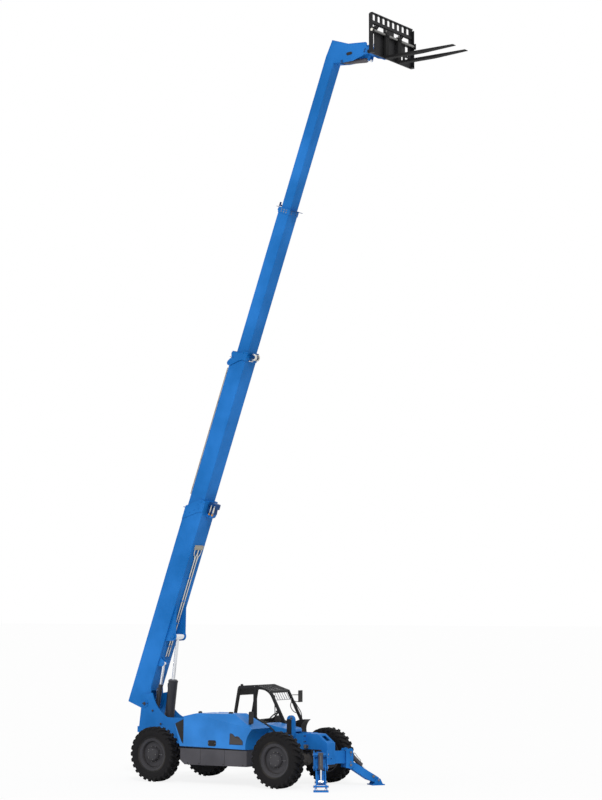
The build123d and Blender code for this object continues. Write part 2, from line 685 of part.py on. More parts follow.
def mouth_pads(outer, inner, set_back=0.0):
    """Wear pads in the mouth of one section, reaching to the next one; those above are set back."""
    end, bottom, top, half_width, wall = outer[2:]
    in_bottom, in_top, in_half = inner[3:6]
    start = end - pad_length
    flat = in_half - 40
    low = [(start, bottom + wall), (start, in_bottom - slide_gap), (end, in_bottom - slide_gap),
           (end, bottom + wall)]
    start -= set_back
    end -= set_back
    high = [(start, in_top + slide_gap), (start, top - wall), (end, top - wall), (end, in_top + slide_gap)]
    cheek = [(start, in_bottom + 60), (start, in_top - 60), (end, in_top - 60), (end, in_bottom + 60)]
    slab(boom_side, low, -flat, flat)
    slab(boom_side, high, -flat, flat)
    pair(boom_side, cheek, in_half + slide_gap, half_width - wall)


def collar(row, thick, length):
    """A band round the mouth of one section, standing out by its thickness."""
    end, bottom, top, half_width, wall = row[2:]
    ring = [
        (end - length, bottom - thick), (end - length, top + thick), (end, top + thick), (end, bottom - thick),
    ]
    hole = [
        (end - length - 1, bottom + wall), (end - length - 1, top - wall), (end + 1, top - wall),
        (end + 1, bottom + wall),
    ]
    slab(boom_side, ring, -half_width - thick, half_width + thick)
    slab(boom_side, hole, wall - half_width, half_width - wall, mode=Mode.SUBTRACT)


lug_inner = 185.0
lug_outer_face = 205.0
rod_half = 180.0
tube_radius = 18.0
with BuildPart() as boom_base:
    base = boom_sections[0]
    base_end, base_bottom, base_top, base_half = base[2:6]
    section_tube(*base[1:])
    # the mouth is cut on the slant, longer below, with a chevron plate on each side
    slab(boom_side, [(base_end - mouth_slant, base_top + 1), (base_end, base_bottom + 181),
                     (base_end + 1, base_bottom + 181), (base_end + 1, base_top + 1)],
         -base_half - 1, base_half + 1, mode=Mode.SUBTRACT)
    chevron = [
        (base_end - mouth_slant - 340, base_top), (base_end - mouth_slant, base_top),
        (base_end, base_bottom + 181), (base_end, base_bottom), (base_end - 290, base_bottom),
        (base_end - 307, base_bottom + 108),
    ]
    pair(boom_side, chevron, base_half, base_half + 12)
    mouth_pads(base, boom_sections[1], set_back=mouth_slant)
    # open tail: two cheeks tied by the upper plate and the pivot's tube
    cheek = [
        (-tail_length, base_top), (-tail_length, 60), ((-125, -80), (0, -115)), (120, -110),
        (420, base_bottom), (420, base_top),
    ]
    pair(boom_side, cheek, base_half - plate, base_half)
    upper = [
        (-tail_length, base_top - plate), (-tail_length, base_top), (340, base_top), (340, base_top - plate),
    ]
    slab(boom_side, upper, -base_half, base_half)
    pin(boom_side, (0, 0), 80, -base_half, base_half)
    pin(boom_side, (0, 0), pivot_pin_radius + running_gap, -300, 300, mode=Mode.SUBTRACT)
    # lugs of the lift cylinder under the section, with the pin's bosses
    lug = [(1640, 40), (1750, -215), ((1850, -262), (1935, -215)), (2680, 40)]
    pair(boom_side, lug, lug_inner, lug_outer_face)
    for reach in ((-232, -lug_outer_face), (lug_outer_face, 232)):
        pin(boom_side, lift_eye, 55, reach[0], reach[1])
    ear = [(985, 25), (1030, -110), ((1100, -138), (1165, -110)), (1215, 25)]
    for inner, outer in ((-62, -44), (44, 62)):
        slab(boom_side, ear, level_y + inner, level_y + outer)
    # bracket box of the hydraulic valves under the mouth
    box = [
        (4960, base_bottom + 1), (4950, -120), ((4990, -160), (5060, -165)), (5180, -150),
        (5200, base_bottom + 1),
    ]
    slab(boom_side, box, -70, 90)
write(boom_base, "boom_base")

for number in (1, 2):
    with BuildPart() as section:
        row = boom_sections[number]
        section_tube(*row[1:])
        collar(row, collar_thick, mouth_collar)
        mouth_pads(row, boom_sections[number + 1])
    write(section, row[0])

head_outline = [
    (16480, 414), (16600, 414), (17091, 372), (17100, -121), (17238, -600), (17225, -640), (17120, -672),
    ((17131, -775), (17026, -818)), ((16985, -775), (16960, -690)), (16729, -386), (16637, -149),
    (16560, 138), (16480, 138),
]
with BuildPart() as boom_fly:
    row = boom_sections[3]
    fly_half = row[5]
    section_tube(*row[1:])
    pair(boom_side, head_outline, fly_half - plate, fly_half)
    # plates that close the head's back, as far as the attachment's swing allows
    slab(boom_side, [(16690, 410), (17091, 372), (17100, -121), (17080, -121), (17071, 354), (16690, 390)],
         -fly_half, fly_half)
    slab(boom_side, [(17080, -121), (17100, -121), (17170, -365), (17150, -365)], -fly_half, fly_half)
    slab(boom_side, [(16560, 140), (16580, 140), (16614, 8), (16594, 8)], plate - fly_half, fly_half - plate)
    slot = [(16830, -195), ((16851, -160), (16875, -180)), (16915, -268), ((16898, -300), (16870, -285))]
    pair(boom_side, slot, fly_half - plate - 1, fly_half + 1, mode=Mode.SUBTRACT)
    pin(boom_side, head_pivot, 30, -fly_half - 15, fly_half + 15)
    pin(boom_side, head_pivot, 55, fly_half, fly_half + 8)
    pin(boom_side, head_pivot, 55, -fly_half - 8, -fly_half)
    pin(boom_side, tilt_foot, 22, -fly_half - 8, fly_half + 8)
write(boom_fly, "boom_fly")

tube_sides = (-30.0, 60.0)
with BuildPart() as boom_tubes:
    for y in tube_sides:
        pin_plane = Plane(
            origin=boom_side.from_local_coords(Vector(1240, base_bottom - wall_gap - tube_radius, -y)),
            z_dir=(cosine, 0, sine),
        )
        with BuildSketch(pin_plane) as section:
            Circle(tube_radius)
        extrude(amount=2900)
    slab(boom_side, [(4080, -38), (4080, base_bottom), (4190, base_bottom), (4190, -38)], -150, 150)
write(boom_tubes, "boom_tubes")

# --- attachment: levelling crank, coupler, carriage, forks --------------------------------------------
head_x, head_z = boom_point(*head_pivot)
lever_end = (head_x + tilt_lever[0], head_z + tilt_lever[1])
sleeve_radius = 38.0
tilt_half_eye = 50.0
with BuildPart() as tilt_pin:
    pin(machine_side, (head_x, head_z), sleeve_radius, -124, 124)
    lever = [
        (head_x - 46, head_z), ((head_x, head_z + 46), (head_x + 46, head_z)),
        (lever_end[0] + 34, lever_end[1]),
        ((lever_end[0], lever_end[1] - 34), (lever_end[0] - 34, lever_end[1])),
    ]
    pair(machine_side, lever, tilt_half_eye + 2, tilt_half_eye + 20)
    for side in (-1, 1):
        spread = sorted((side * (tilt_half_eye + 20), side * (tilt_half_eye + 26)))
        pin(machine_side, lever_end, 24, *spread)
        spread = sorted((side * 104, side * 124))
        pin(machine_side, (head_x, head_z), sleeve_radius + 10, *spread)
    pin(machine_side, (head_x, head_z), 30 + running_gap, -130, 130, mode=Mode.SUBTRACT)
write(tilt_pin, "tilt_pin")

coupler_inner = 82.0
coupler_outer = 102.0
coupler_back = 20.0
cross_tube = (head_x + 155, head_z - 85)
with BuildPart() as coupler:
    cheek = [
        (head_x - 62, head_z), ((head_x, head_z + 62), (head_x + 50, head_z + 45)),
        (head_x + 190, head_z + 120), (carriage_x, head_z + 270), (carriage_x, carriage_bottom + 60),
        (head_x + 250, head_z - 190), (head_x + 120, head_z - 160), (head_x - 40, head_z - 60),
    ]
    pair(machine_side, cheek, coupler_inner, coupler_outer)
    pair(machine_side, [(head_x + 190, head_z + 120), (carriage_x, head_z + 270), (carriage_x, head_z - 150),
                        (head_x + 230, head_z - 150)], 200, 216)
    block((carriage_x - coupler_back, carriage_x), (-330, 330), (carriage_bottom + 60, head_z + 270))
    block((head_x + 230, carriage_x), (-216, 216), (head_z - 60, head_z - 44))
    pin(machine_side, cross_tube, 58, -350, -coupler_inner)
    pin(machine_side, cross_tube, 58, coupler_inner, 350)
    pin(machine_side, (head_x, head_z), sleeve_radius + running_gap, -110, 110, mode=Mode.SUBTRACT)
write(coupler, "coupler")

rail = 90.0
carriage_plate = 40.0
window_count = 8
window_pitch = 217.5
window_width = 147.0
shaft_x = carriage_x + 95.0
shaft_z = carriage_bottom + 570.0
shaft_radius = 30.0


def wall(outline, x_from, x_to, radius=0.0, mode=Mode.ADD):
    """Part of the carriage: its outline holds (y, height above the forks' underside) points."""
    with BuildSketch(Plane.YZ.offset(x_from + mid_x)) as face:
        with BuildLine():
            trace([(y, carriage_bottom + z) for y, z in outline], radius)
        make_face()
    extrude(face.sketch, amount=x_to - x_from, mode=mode)


def rectangle(y_span, z_span):
    """The corners of an upright rectangle."""
    return [(y_span[0], z_span[0]), (y_span[0], z_span[1]), (y_span[1], z_span[1]), (y_span[1], z_span[0])]


with BuildPart() as carriage:
    edge = carriage_half_width
    back = carriage_x + carriage_plate
    shape = [
        (-edge, 30), (-edge, carriage_height - 50), (-edge + 60, carriage_height), (edge, carriage_height),
        (edge, 30),
    ]
    wall(shape, carriage_x, back)
    # windows under the top rail
    for number in range(window_count):
        middle = (number - (window_count - 1) / 2) * window_pitch
        span = (middle - window_width / 2, middle + window_width / 2)
        window = rectangle(span, (830, carriage_height - 30))
        wall(window, carriage_x - 1, back + 1, radius=25, mode=Mode.SUBTRACT)
    # openings round the braces, between the second rail and the forks' shaft, and in the lower plates
    openings = [
        [(-850, 745), (-665, 745), (-850, 615)],
        [(-690, 600), (-540, 745), (-310, 745), (-310, 600)],
        [(-265, 600), (-125, 600), (-125, 690)],
        [(110, 600), (110, 745), (440, 745), (290, 600)],
        [(400, 600), (545, 745), (830, 745), (830, 600)],
        rectangle((-815, -730), (140, 530)),
        rectangle((-235, -125), (140, 530)),
        rectangle((130, 165), (300, 440)),
        rectangle((440, 560), (140, 300)),
        rectangle((620, 790), (300, 530)),
        rectangle((620, 790), (150, 260)),
    ]
    for opening in openings:
        wall(opening, carriage_x - 1, back + 1, mode=Mode.SUBTRACT)
    # rails and posts that stand out from the plate
    front = carriage_x + 60
    for low, high in ((755, 825), (carriage_height - 28, carriage_height)):
        wall(rectangle((60 - edge, edge), (low, high)), carriage_x, front)
    for side in (-1, 1):
        y_span = sorted((side * edge, side * (edge - 20)))
        wall(rectangle(y_span, (30, carriage_height - 52)), carriage_x, carriage_x + 100)
        wall(rectangle(y_span, (500, 640)), carriage_x, carriage_x + 150)
        wall(rectangle(sorted((side * edge, side * (edge - 120))), (30, 50)), carriage_x, carriage_x + 100)
    tube((shaft_x, -edge - 12, shaft_z), (shaft_x, edge + 12, shaft_z), shaft_radius)
write(carriage, "carriage")

for y, name in zip(fork_sides, ("right", "left")):
    with BuildPart() as fork:
        heel = carriage_x + fork_heel
        blade_top = carriage_bottom + 60
        shank_top = shaft_z + 70
        shape = [
            (heel, shank_top), (heel + 60, shank_top), (heel + 60, blade_top),
            (heel + fork_length, blade_top), (heel + fork_length, blade_top - 12),
            (heel + fork_length - 900, carriage_bottom), (heel, carriage_bottom),
        ]
        slab(machine_side, shape, y - 70, y + 70)
        pin(machine_side, (shaft_x, shaft_z), 50, y - 70, y + 70)
        pin(machine_side, (shaft_x, shaft_z), shaft_radius + running_gap, y - 80, y + 80, mode=Mode.SUBTRACT)
    write(fork, f"fork_{name}")


# --- cylinders of the boom: each is a barrel with a foot eye, and a rod -----------------------------
def ram(name, foot, eye, y, radius, rod_radius, length, overlap, pin_radius, half_eye, boss, half_boss):
    """Write a cylinder's barrel and rod between two points of the side view."""
    run = math.hypot(eye[0] - foot[0], eye[1] - foot[1])
    unit = ((eye[0] - foot[0]) / run, (eye[1] - foot[1]) / run)
    cap = 40.0

    def place(distance):
        origin = (foot[0] + unit[0] * distance + mid_x, y, foot[1] + unit[1] * distance)
        return Plane(origin=origin, x_dir=(0, 1, 0), z_dir=(unit[0], 0, unit[1]))

    with BuildPart() as barrel:
        pin(machine_side, foot, pin_radius * 1.8, y - half_eye, y + half_eye)
        with BuildSketch(place(pin_radius)):
            Circle(radius)
        extrude(amount=length - pin_radius)
        with BuildSketch(place(length - cap)):
            Circle(radius + 6)
        extrude(amount=cap)
        eye_span = (y - half_eye - 1, y + half_eye + 1)
        pin(machine_side, foot, pin_radius + running_gap, *eye_span, mode=Mode.SUBTRACT)
        with BuildSketch(place(pin_radius * 2.5)):
            Circle(rod_radius + slide_gap)
        extrude(amount=length, mode=Mode.SUBTRACT)
    write(barrel, f"{name}_barrel")

    with BuildPart() as rod:
        with BuildSketch(place(length - overlap)):
            Circle(rod_radius)
        extrude(amount=run - length + overlap)
        pin(machine_side, eye, boss, y - half_boss, y + half_boss)
    write(rod, f"{name}_rod")


ram("lift", lift_foot, boom_point(*lift_eye), 0, lift_barrel_radius, lift_rod_radius, lift_barrel_length, 90,
    cylinder_pin_radius, 100, 80, rod_half)
ram("level", level_foot, boom_point(*level_eye), level_y, level_barrel_radius, level_rod_radius,
    level_barrel_length, 90, 24, 35, 46, 36)
ram("tilt", boom_point(*tilt_foot), lever_end, 0, tilt_barrel_radius, 26, tilt_barrel_length,
    tilt_rod_overlap, 22, tilt_half_eye, 34, tilt_half_eye)
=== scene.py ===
"""Looks of a telescopic handler: finer surfaces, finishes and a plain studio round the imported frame."""

import math

import bmesh
import bpy
import numpy as np
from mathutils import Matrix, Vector


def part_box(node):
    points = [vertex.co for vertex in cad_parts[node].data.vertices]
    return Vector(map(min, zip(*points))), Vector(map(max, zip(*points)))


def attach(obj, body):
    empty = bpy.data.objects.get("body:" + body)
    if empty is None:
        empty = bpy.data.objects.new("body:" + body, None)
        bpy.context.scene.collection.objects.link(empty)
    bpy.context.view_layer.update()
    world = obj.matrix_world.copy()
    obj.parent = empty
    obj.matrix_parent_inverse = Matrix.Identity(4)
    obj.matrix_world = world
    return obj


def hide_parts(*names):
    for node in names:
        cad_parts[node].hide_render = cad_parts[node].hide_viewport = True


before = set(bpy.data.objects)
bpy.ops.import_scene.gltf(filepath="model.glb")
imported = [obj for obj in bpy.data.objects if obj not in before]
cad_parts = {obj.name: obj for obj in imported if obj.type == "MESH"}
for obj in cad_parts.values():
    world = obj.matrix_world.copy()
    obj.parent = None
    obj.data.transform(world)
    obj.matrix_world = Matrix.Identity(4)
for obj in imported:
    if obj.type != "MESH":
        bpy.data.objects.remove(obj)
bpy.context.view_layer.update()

bl_info = {
    "name": "Telescopic handler",
    "version": (1, 0, 0),
    "blender": (4, 5, 0),
    "location": "View3D > Sidebar > Handler",
    "description": "Tyres, cab, fittings and finishes of a telescopic handler",
    "category": "Object",
}

TURN = 2 * math.pi


# --- where things are -----------------------------------------------------------------------------
def middle(node):
    """The centre of a CAD node's box."""
    low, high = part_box(node)
    return (low + high) / 2


# fore-and-aft positions are counted from a datum 1.85 m ahead of the rear axle
DATUM_X = middle("rear_axle").x + 1.85
BOOM_TURN = math.radians(69.8)
BOOM_PIVOT = (-2.79, 1.84)
FRONT_AXLE_X = 1.805
ROOT_X = FRONT_AXLE_X + 0.89
ROOT_Y = 0.59
SPLAY = math.radians(34.5)
TYRE_RADIUS = (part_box("tyre_rear_left")[1].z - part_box("tyre_rear_left")[0].z) / 2


def machine(points):
    """Points given as (ahead of the datum, left, up) in the frame's own coordinates."""
    return np.asarray(points, float) + np.array((DATUM_X, 0.0, 0.0))


def boom(points):
    """Points given as (along the boom from its pivot, left, above its axis)."""
    p = np.asarray(points, float)
    c, s = math.cos(BOOM_TURN), math.sin(BOOM_TURN)
    ahead = BOOM_PIVOT[0] + p[..., 0] * c - p[..., 2] * s
    up = BOOM_PIVOT[1] + p[..., 0] * s + p[..., 2] * c
    return machine(np.stack([ahead, p[..., 1], up], -1))


def leg(side, points):
    """Points in a stabiliser's upright plane: (outward from its root, across the plane, up)."""
    p = np.asarray(points, float)
    out_x, out_y = math.sin(SPLAY), side * math.cos(SPLAY)
    ahead = ROOT_X + p[..., 0] * out_x + p[..., 1] * out_y
    left = side * ROOT_Y + p[..., 0] * out_y - p[..., 1] * out_x
    return machine(np.stack([ahead, left, p[..., 2]], -1))


# --- shapes: each gives (points, faces) -----------------------------------------------------------
def lattice(rows, columns, wrap_rows=False, wrap_columns=False):
    """Quads between neighbours of a grid of points stored row by row."""
    i = np.arange(rows if wrap_rows else rows - 1)
    j = np.arange(columns if wrap_columns else columns - 1)
    i, j = np.meshgrid(i, j, indexing="ij")
    i2, j2 = (i + 1) % rows, (j + 1) % columns
    quads = np.stack([i * columns + j, i * columns + j2, i2 * columns + j2, i2 * columns + j], -1)
    return quads.reshape(-1, 4).tolist()


def unit(v):
    """Vectors scaled to length one."""
    v = np.asarray(v, float)
    return v / np.maximum(np.linalg.norm(v, axis=-1, keepdims=True), 1e-12)


def square_to(axis):
    """Two unit vectors square to an axis and to each other."""
    axis = unit(axis)
    other = np.eye(3)[np.argmin(np.abs(axis))]
    first = unit(np.cross(axis, other))
    return first, np.cross(axis, first)


def turned(centre, axis, profile, segments=32):
    """A profile of (radius, height) turned round an axis: p = c + r (u cos a + v sin a) + h w."""
    centre, w = np.asarray(centre, float), unit(axis)
    u, v = square_to(w)
    radius, height = np.asarray(profile, float).T
    a = np.linspace(0, TURN, segments, endpoint=False)
    ring = np.cos(a)[:, None] * u + np.sin(a)[:, None] * v
    points = centre + radius[:, None, None] * ring[None] + height[:, None, None] * w
    return points.reshape(-1, 3), lattice(len(radius), segments, wrap_columns=True)


def rod(first, last, radius, segments=16, chamfer=0.0):
    """A round bar with closed ends, their edges cut by the chamfer."""
    first, last = np.asarray(first, float), np.asarray(last, float)
    length = float(np.linalg.norm(last - first))
    edge = min(chamfer, radius * 0.6, length / 3)
    profile = [(0, 0), (radius - edge, 0), (radius, edge), (radius, length - edge),
               (radius - edge, length), (0, length)]
    return turned(first, last - first, profile, segments)


def button(centre, axis, radius, edge, crown, height, segments=24):
    """A round head: straight up to its edge's height, then narrowing to the crown's radius at its top."""
    return turned(centre, axis, [(0, 0), (radius, 0), (radius, edge), (crown, height), (0, height)], segments)


def smooth_path(points, count=40):
    """A Catmull-Rom curve through the points: on each span a cubic of its four neighbours."""
    p = np.asarray(points, float)
    p = np.vstack([2 * p[0] - p[1], p, 2 * p[-1] - p[-2]])
    t = np.linspace(0, len(p) - 3, count)
    k = np.minimum(t.astype(int), len(p) - 4)
    f = (t - k)[:, None]
    a, b, c, d = p[k], p[k + 1], p[k + 2], p[k + 3]
    square, cube = 2 * a - 5 * b + 4 * c - d, 3 * b - a - 3 * c + d
    return 0.5 * (2 * b + (c - a) * f + square * f ** 2 + cube * f ** 3)


def swept(path, radius, segments=10, squareness=1.0):
    """A closed tube along a path: at each point a ring square to the path's direction there."""
    path = np.asarray(path, float)
    ahead = unit(np.gradient(path, axis=0))
    spread = np.abs(ahead).max(0)
    other = np.eye(3)[np.argmin(spread)]
    u = unit(np.cross(ahead, other))
    v = np.cross(ahead, u)
    a = np.linspace(0, TURN, segments, endpoint=False)
    c, s = np.cos(a), np.sin(a)
    c, s = np.sign(c) * np.abs(c) ** squareness, np.sign(s) * np.abs(s) ** squareness
    size = np.broadcast_to(np.asarray(radius, float), (len(path),))[:, None, None]
    ring = c[None, :, None] * u[:, None] + s[None, :, None] * v[:, None]
    points = path[:, None] + size * ring
    ends = np.broadcast_to(path[[0, -1], None], (2, segments, 3))
    points = np.concatenate([ends[:1], points, ends[1:]])
    return points.reshape(-1, 3), lattice(len(path) + 2, segments, wrap_columns=True)


def pipe(points, radius, count=30, segments=10):
    """A rigid line through points, bent smoothly, in machine coordinates."""
    return swept(smooth_path(machine(points), count), radius, segments)


def pipe_on_boom(points, radius, count=40):
    """A rigid line through points given in the boom's coordinates."""
    return swept(smooth_path(boom(points), count), radius)


def boom_rod(first, last, radius, segments=16, chamfer=0.0):
    """A round bar between two points given in the boom's coordinates."""
    return rod(boom(first), boom(last), radius, segments, chamfer)


def prism(outline, place, low, high):
    """A flat piece: place turns (across, depth, up) rows into points, and depth runs from low to high."""
    flat = np.asarray(outline, float)
    count = len(flat)
    depth = np.repeat((low, high), count)
    both = np.tile(flat, (2, 1))
    points = place(np.stack([both[:, 0], depth, both[:, 1]], -1))
    ring = np.arange(count)
    after = (ring + 1) % count
    sides = np.stack([ring, after, after + count, ring + count], -1).tolist()
    return points, sides + [ring[::-1].tolist(), (ring + count).tolist()]


def block(low, high, place=machine):
    """A box between two corners."""
    outline = [(low[0], low[2]), (high[0], low[2]), (high[0], high[2]), (low[0], high[2])]
    return prism(outline, place, low[1], high[1])


def repeated(shape, shifts):
    """The same shape moved by each of the shifts."""
    points, faces = shape
    shifts = np.asarray(shifts, float)
    count = len(points)
    moved = (points[None] + shifts[:, None]).reshape(-1, 3)
    steps = np.arange(len(shifts)) * count
    return moved, [[k + int(step) for k in face] for step in steps for face in faces]


def arc(centre, radius, start, end, count=9):
    """Points on an arc of a flat outline, angles in degrees."""
    a = np.radians(np.linspace(start, end, count))
    return np.stack([centre[0] + radius * np.cos(a), centre[1] + radius * np.sin(a)], -1).tolist()


def rounded(low, high, radius, count=5):
    """A rectangle's outline with round corners."""
    r = radius
    corners = ((high[0] - r, high[1] - r, 0), (low[0] + r, high[1] - r, 90),
               (low[0] + r, low[1] + r, 180), (high[0] - r, low[1] + r, 270))
    return [p for x, z, turn in corners for p in arc((x, z), r, turn, turn + 90, count)]


BOLT = [(0, 0), (1.0, 0), (1.0, 0.55), (0.85, 0.7), (0.42, 0.7), (0.42, 1.0), (0.34, 1.1), (0, 1.1)]
WASHER = [(0, 0), (1.45, 0), (1.45, 0.16), (0, 0.16)]


def bolts(centres, axis, size):
    """Hexagonal heads on washers, all along one axis, at the given centres."""
    head = turned((0, 0, 0), axis, np.array(BOLT) * size, 6)
    washer = turned((0, 0, 0), axis, np.array(WASHER) * size, 14)
    centres = np.asarray(centres, float).reshape(-1, 3)
    return [repeated(head, centres), repeated(washer, centres)]


def piece(name, body, finish, *shapes, bevel=0.0, sharp=35.0, stands_for=()):
    """Join shapes into one closed mesh object that rides on a body and wears a finish."""
    points, faces, start = [], [], 0
    for shape in shapes:
        for part in shape if isinstance(shape, list) else [shape]:
            points.append(np.asarray(part[0], float))
            faces.extend([[k + start for k in face] for face in part[1]])
            start += len(part[0])
    mesh = bpy.data.meshes.new(name)
    mesh.from_pydata(np.vstack(points).tolist(), [], faces)
    work = bmesh.new()
    work.from_mesh(mesh)
    bmesh.ops.remove_doubles(work, verts=work.verts, dist=1e-6)
    bmesh.ops.recalc_face_normals(work, faces=work.faces)
    work.to_mesh(mesh)
    work.free()
    mesh.materials.append(finishes()[finish])
    mesh.shade_smooth()
    mesh.set_sharp_from_angle(angle=math.radians(sharp))
    made = bpy.data.objects.new(name, mesh)
    bpy.context.scene.collection.objects.link(made)
    if bevel:
        cut = made.modifiers.new("edge", "BEVEL")
        cut.width = bevel
        cut.segments = 2
        cut.limit_method = "ANGLE"
        cut.angle_limit = math.radians(30)
    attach(made, body)
    if stands_for:
        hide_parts(*stands_for)
    return made


# --- shader writing -------------------------------------------------------------------------------
class Value:
    """A socket of a material's nodes; arithmetic on it adds Math nodes."""

    def __init__(self, sheet, socket):
        self.sheet = sheet
        self.socket = socket

    def _with(self, operation, other, swap=False):
        pair = (other, self) if swap else (self, other)
        return self.sheet.value("ShaderNodeMath", {"operation": operation}, *pair)

    def __add__(self, other):
        return self._with("ADD", other)

    def __sub__(self, other):
        return self._with("SUBTRACT", other)

    def __rsub__(self, other):
        return self._with("SUBTRACT", other, swap=True)

    def __mul__(self, other):
        return self._with("MULTIPLY", other)

    __radd__ = __add__
    __rmul__ = __mul__

    def clamped(self):
        """The value kept between 0 and 1."""
        return self.sheet.value("ShaderNodeClamp", {}, self)


class Sheet:
    """One material being written."""

    def __init__(self, name):
        self.material = bpy.data.materials.new(name)
        self.material.use_nodes = True
        self.tree = self.material.node_tree
        self.shader = self.tree.nodes["Principled BSDF"]
        self.place = Value(self, self.tree.nodes.new("ShaderNodeTexCoord").outputs["Object"])

    def put(self, socket, what):
        """Link a value to a socket, or set the socket's own number or colour."""
        if isinstance(what, Value):
            self.tree.links.new(what.socket, socket)
        elif what is not None:
            socket.default_value = what

    def value(self, kind, settings, *sockets):
        """Any node: its settings first, then its inputs in order; its first output as a value."""
        made = self.tree.nodes.new(kind)
        for key, setting in settings.items():
            setattr(made, key, setting)
        for socket, what in zip(made.inputs, sockets):
            self.put(socket, what)
        return Value(self, made.outputs[0])

    def stretched(self, factors):
        """Object coordinates multiplied along each axis."""
        return self.value("ShaderNodeVectorMath", {"operation": "MULTIPLY"}, self.place, factors)

    def along(self, direction):
        """The distance along a direction."""
        made = self.tree.nodes.new("ShaderNodeVectorMath")
        made.operation = "DOT_PRODUCT"
        self.put(made.inputs[0], self.place)
        self.put(made.inputs[1], direction)
        return Value(self, made.outputs["Value"])

    def wave(self, direction, pitch):
        """A sine between 0 and 1 along a direction, one turn in each pitch."""
        angle = self.along(direction) * (TURN / pitch)
        return self.value("ShaderNodeMath", {"operation": "SINE"}, angle) * 0.5 + 0.5

    def noise(self, scale, detail=3.0, roughness=0.55, place=None):
        """Cloudy noise between 0 and 1."""
        made = self.tree.nodes.new("ShaderNodeTexNoise")
        self.put(made.inputs["Vector"], place or self.place)
        self.put(made.inputs["Scale"], scale)
        self.put(made.inputs["Detail"], detail)
        self.put(made.inputs["Roughness"], roughness)
        return Value(self, made.outputs["Fac"])

    def step(self, what, low, high):
        """Rises smoothly from 0 at low to 1 at high."""
        made = self.tree.nodes.new("ShaderNodeMapRange")
        made.interpolation_type = "SMOOTHSTEP"
        for key, put in (("Value", what), ("From Min", low), ("From Max", high)):
            self.put(made.inputs[key], put)
        return Value(self, made.outputs["Result"])

    def blend(self, share, first, second):
        """A colour between two, by share."""
        made = self.tree.nodes.new("ShaderNodeMix")
        made.data_type = "RGBA"
        for index, put in ((0, share), (6, first), (7, second)):
            self.put(made.inputs[index], put)
        return Value(self, made.outputs[2])

    def bump(self, height, strength, distance=0.002):
        """Relief from a height, fed to the shader's normal."""
        made = self.tree.nodes.new("ShaderNodeBump")
        made.inputs["Strength"].default_value = strength
        made.inputs["Distance"].default_value = distance
        self.put(made.inputs["Height"], height)
        self.put(self.shader.inputs["Normal"], Value(self, made.outputs["Normal"]))

    def set(self, **inputs):
        """Feed the shader's own sockets, named with underscores for spaces."""
        for key, what in inputs.items():
            self.put(self.shader.inputs[key.replace("_", " ")], what)
        return self


def colour(red, green, blue):
    """A shader colour from the three 0 to 255 numbers of a paint chart."""
    chart = np.array((red, green, blue)) / 255
    linear = np.where(chart <= 0.04045, chart / 12.92, ((chart + 0.055) / 1.055) ** 2.4)
    return (*linear.tolist(), 1.0)


DUST = colour(142, 132, 118)


def painted(name, base, rough=0.34, fade=0.12, dust=0.22, coat=0.3, chips=0.0, shine=0.3):
    """Machine paint: faded in clouds, dustier low down, rain-streaked, with a fine skin and small chips."""
    s = Sheet(name)
    cloud = s.noise(0.8, 4.0)
    grain = s.noise(22.0, 5.0)
    rain = s.noise(1.0, 4.0, place=s.stretched((7.0, 7.0, 0.45)))
    low = 1.0 - s.step(s.along((0, 0, 1)), 0.2, 2.1)
    dirt = s.step(cloud, 0.35, 0.75) * 0.35 + s.step(rain, 0.5, 0.8) * 0.35 + low * 0.75
    dirt = (dirt * (grain + 0.35)).clamped()
    deep = tuple(c * (1 - fade * 1.6) for c in base[:3]) + (1.0,)
    pale = tuple(min(1.0, c * (1 + fade) + 0.01) for c in base[:3]) + (1.0,)
    skin = s.blend(s.step(cloud, 0.3, 0.7), deep, pale)
    skin = s.blend(dirt * dust, skin, DUST)
    if chips:
        spot = s.step(s.noise(46.0, 2.0), 0.70, 0.73) * s.step(s.noise(1.7, 2.0), 0.5, 0.65)
        skin = s.blend(spot * chips, skin, colour(58, 52, 50))
    s.set(Base_Color=skin, Roughness=(dirt * 0.3 + grain * 0.12 + (rough - 0.06)).clamped(), Coat_Weight=coat,
          Coat_Roughness=0.12, Specular_IOR_Level=shine)
    s.bump(s.noise(260.0, 2.0), 0.06)
    return s.material


def rubber(name):
    """Tyre rubber: near black, chalky in clouds, with dried dust and a fine grain."""
    s = Sheet(name)
    cloud = s.noise(3.0, 5.0)
    grain = s.noise(70.0, 4.0)
    dust = (s.step(cloud, 0.42, 0.72) * (grain + 0.2)).clamped()
    s.set(Base_Color=s.blend(dust * 0.16, colour(15, 14, 16), colour(62, 59, 58)),
          Roughness=(0.68 + dust * 0.2).clamped(), Specular_IOR_Level=0.16)
    s.bump(grain, 0.25, 0.003)
    return s.material


def steel(name, base, rough, brushed=0.05, streaks=(1.0, 1.0, 1.0), stain=0.0):
    """Bare or plated metal with fine streaks across its length and faint stains."""
    s = Sheet(name)
    fine = s.noise(160.0, 3.0, place=s.stretched(streaks))
    spots = s.step(s.noise(9.0, 4.0), 0.55, 0.8)
    s.set(Base_Color=s.blend(spots * stain, base, colour(96, 82, 70)), Metallic=1.0,
          Roughness=(fine * brushed + spots * stain * 0.5 + rough).clamped())
    s.bump(fine, 0.04, 0.001)
    return s.material


def plastic(name, base, rough=0.5, grain_size=420.0, relief=0.12):
    """Moulded plastic or rubber trim with a grained skin."""
    s = Sheet(name)
    grain = s.noise(grain_size, 2.0)
    cloud = s.noise(2.5, 3.0)
    s.set(Base_Color=s.blend(s.step(cloud, 0.35, 0.75) * 0.08, base, DUST),
          Roughness=(rough - 0.06 + grain * 0.12).clamped(), Specular_IOR_Level=0.2)
    s.bump(grain, relief, 0.001)
    return s.material


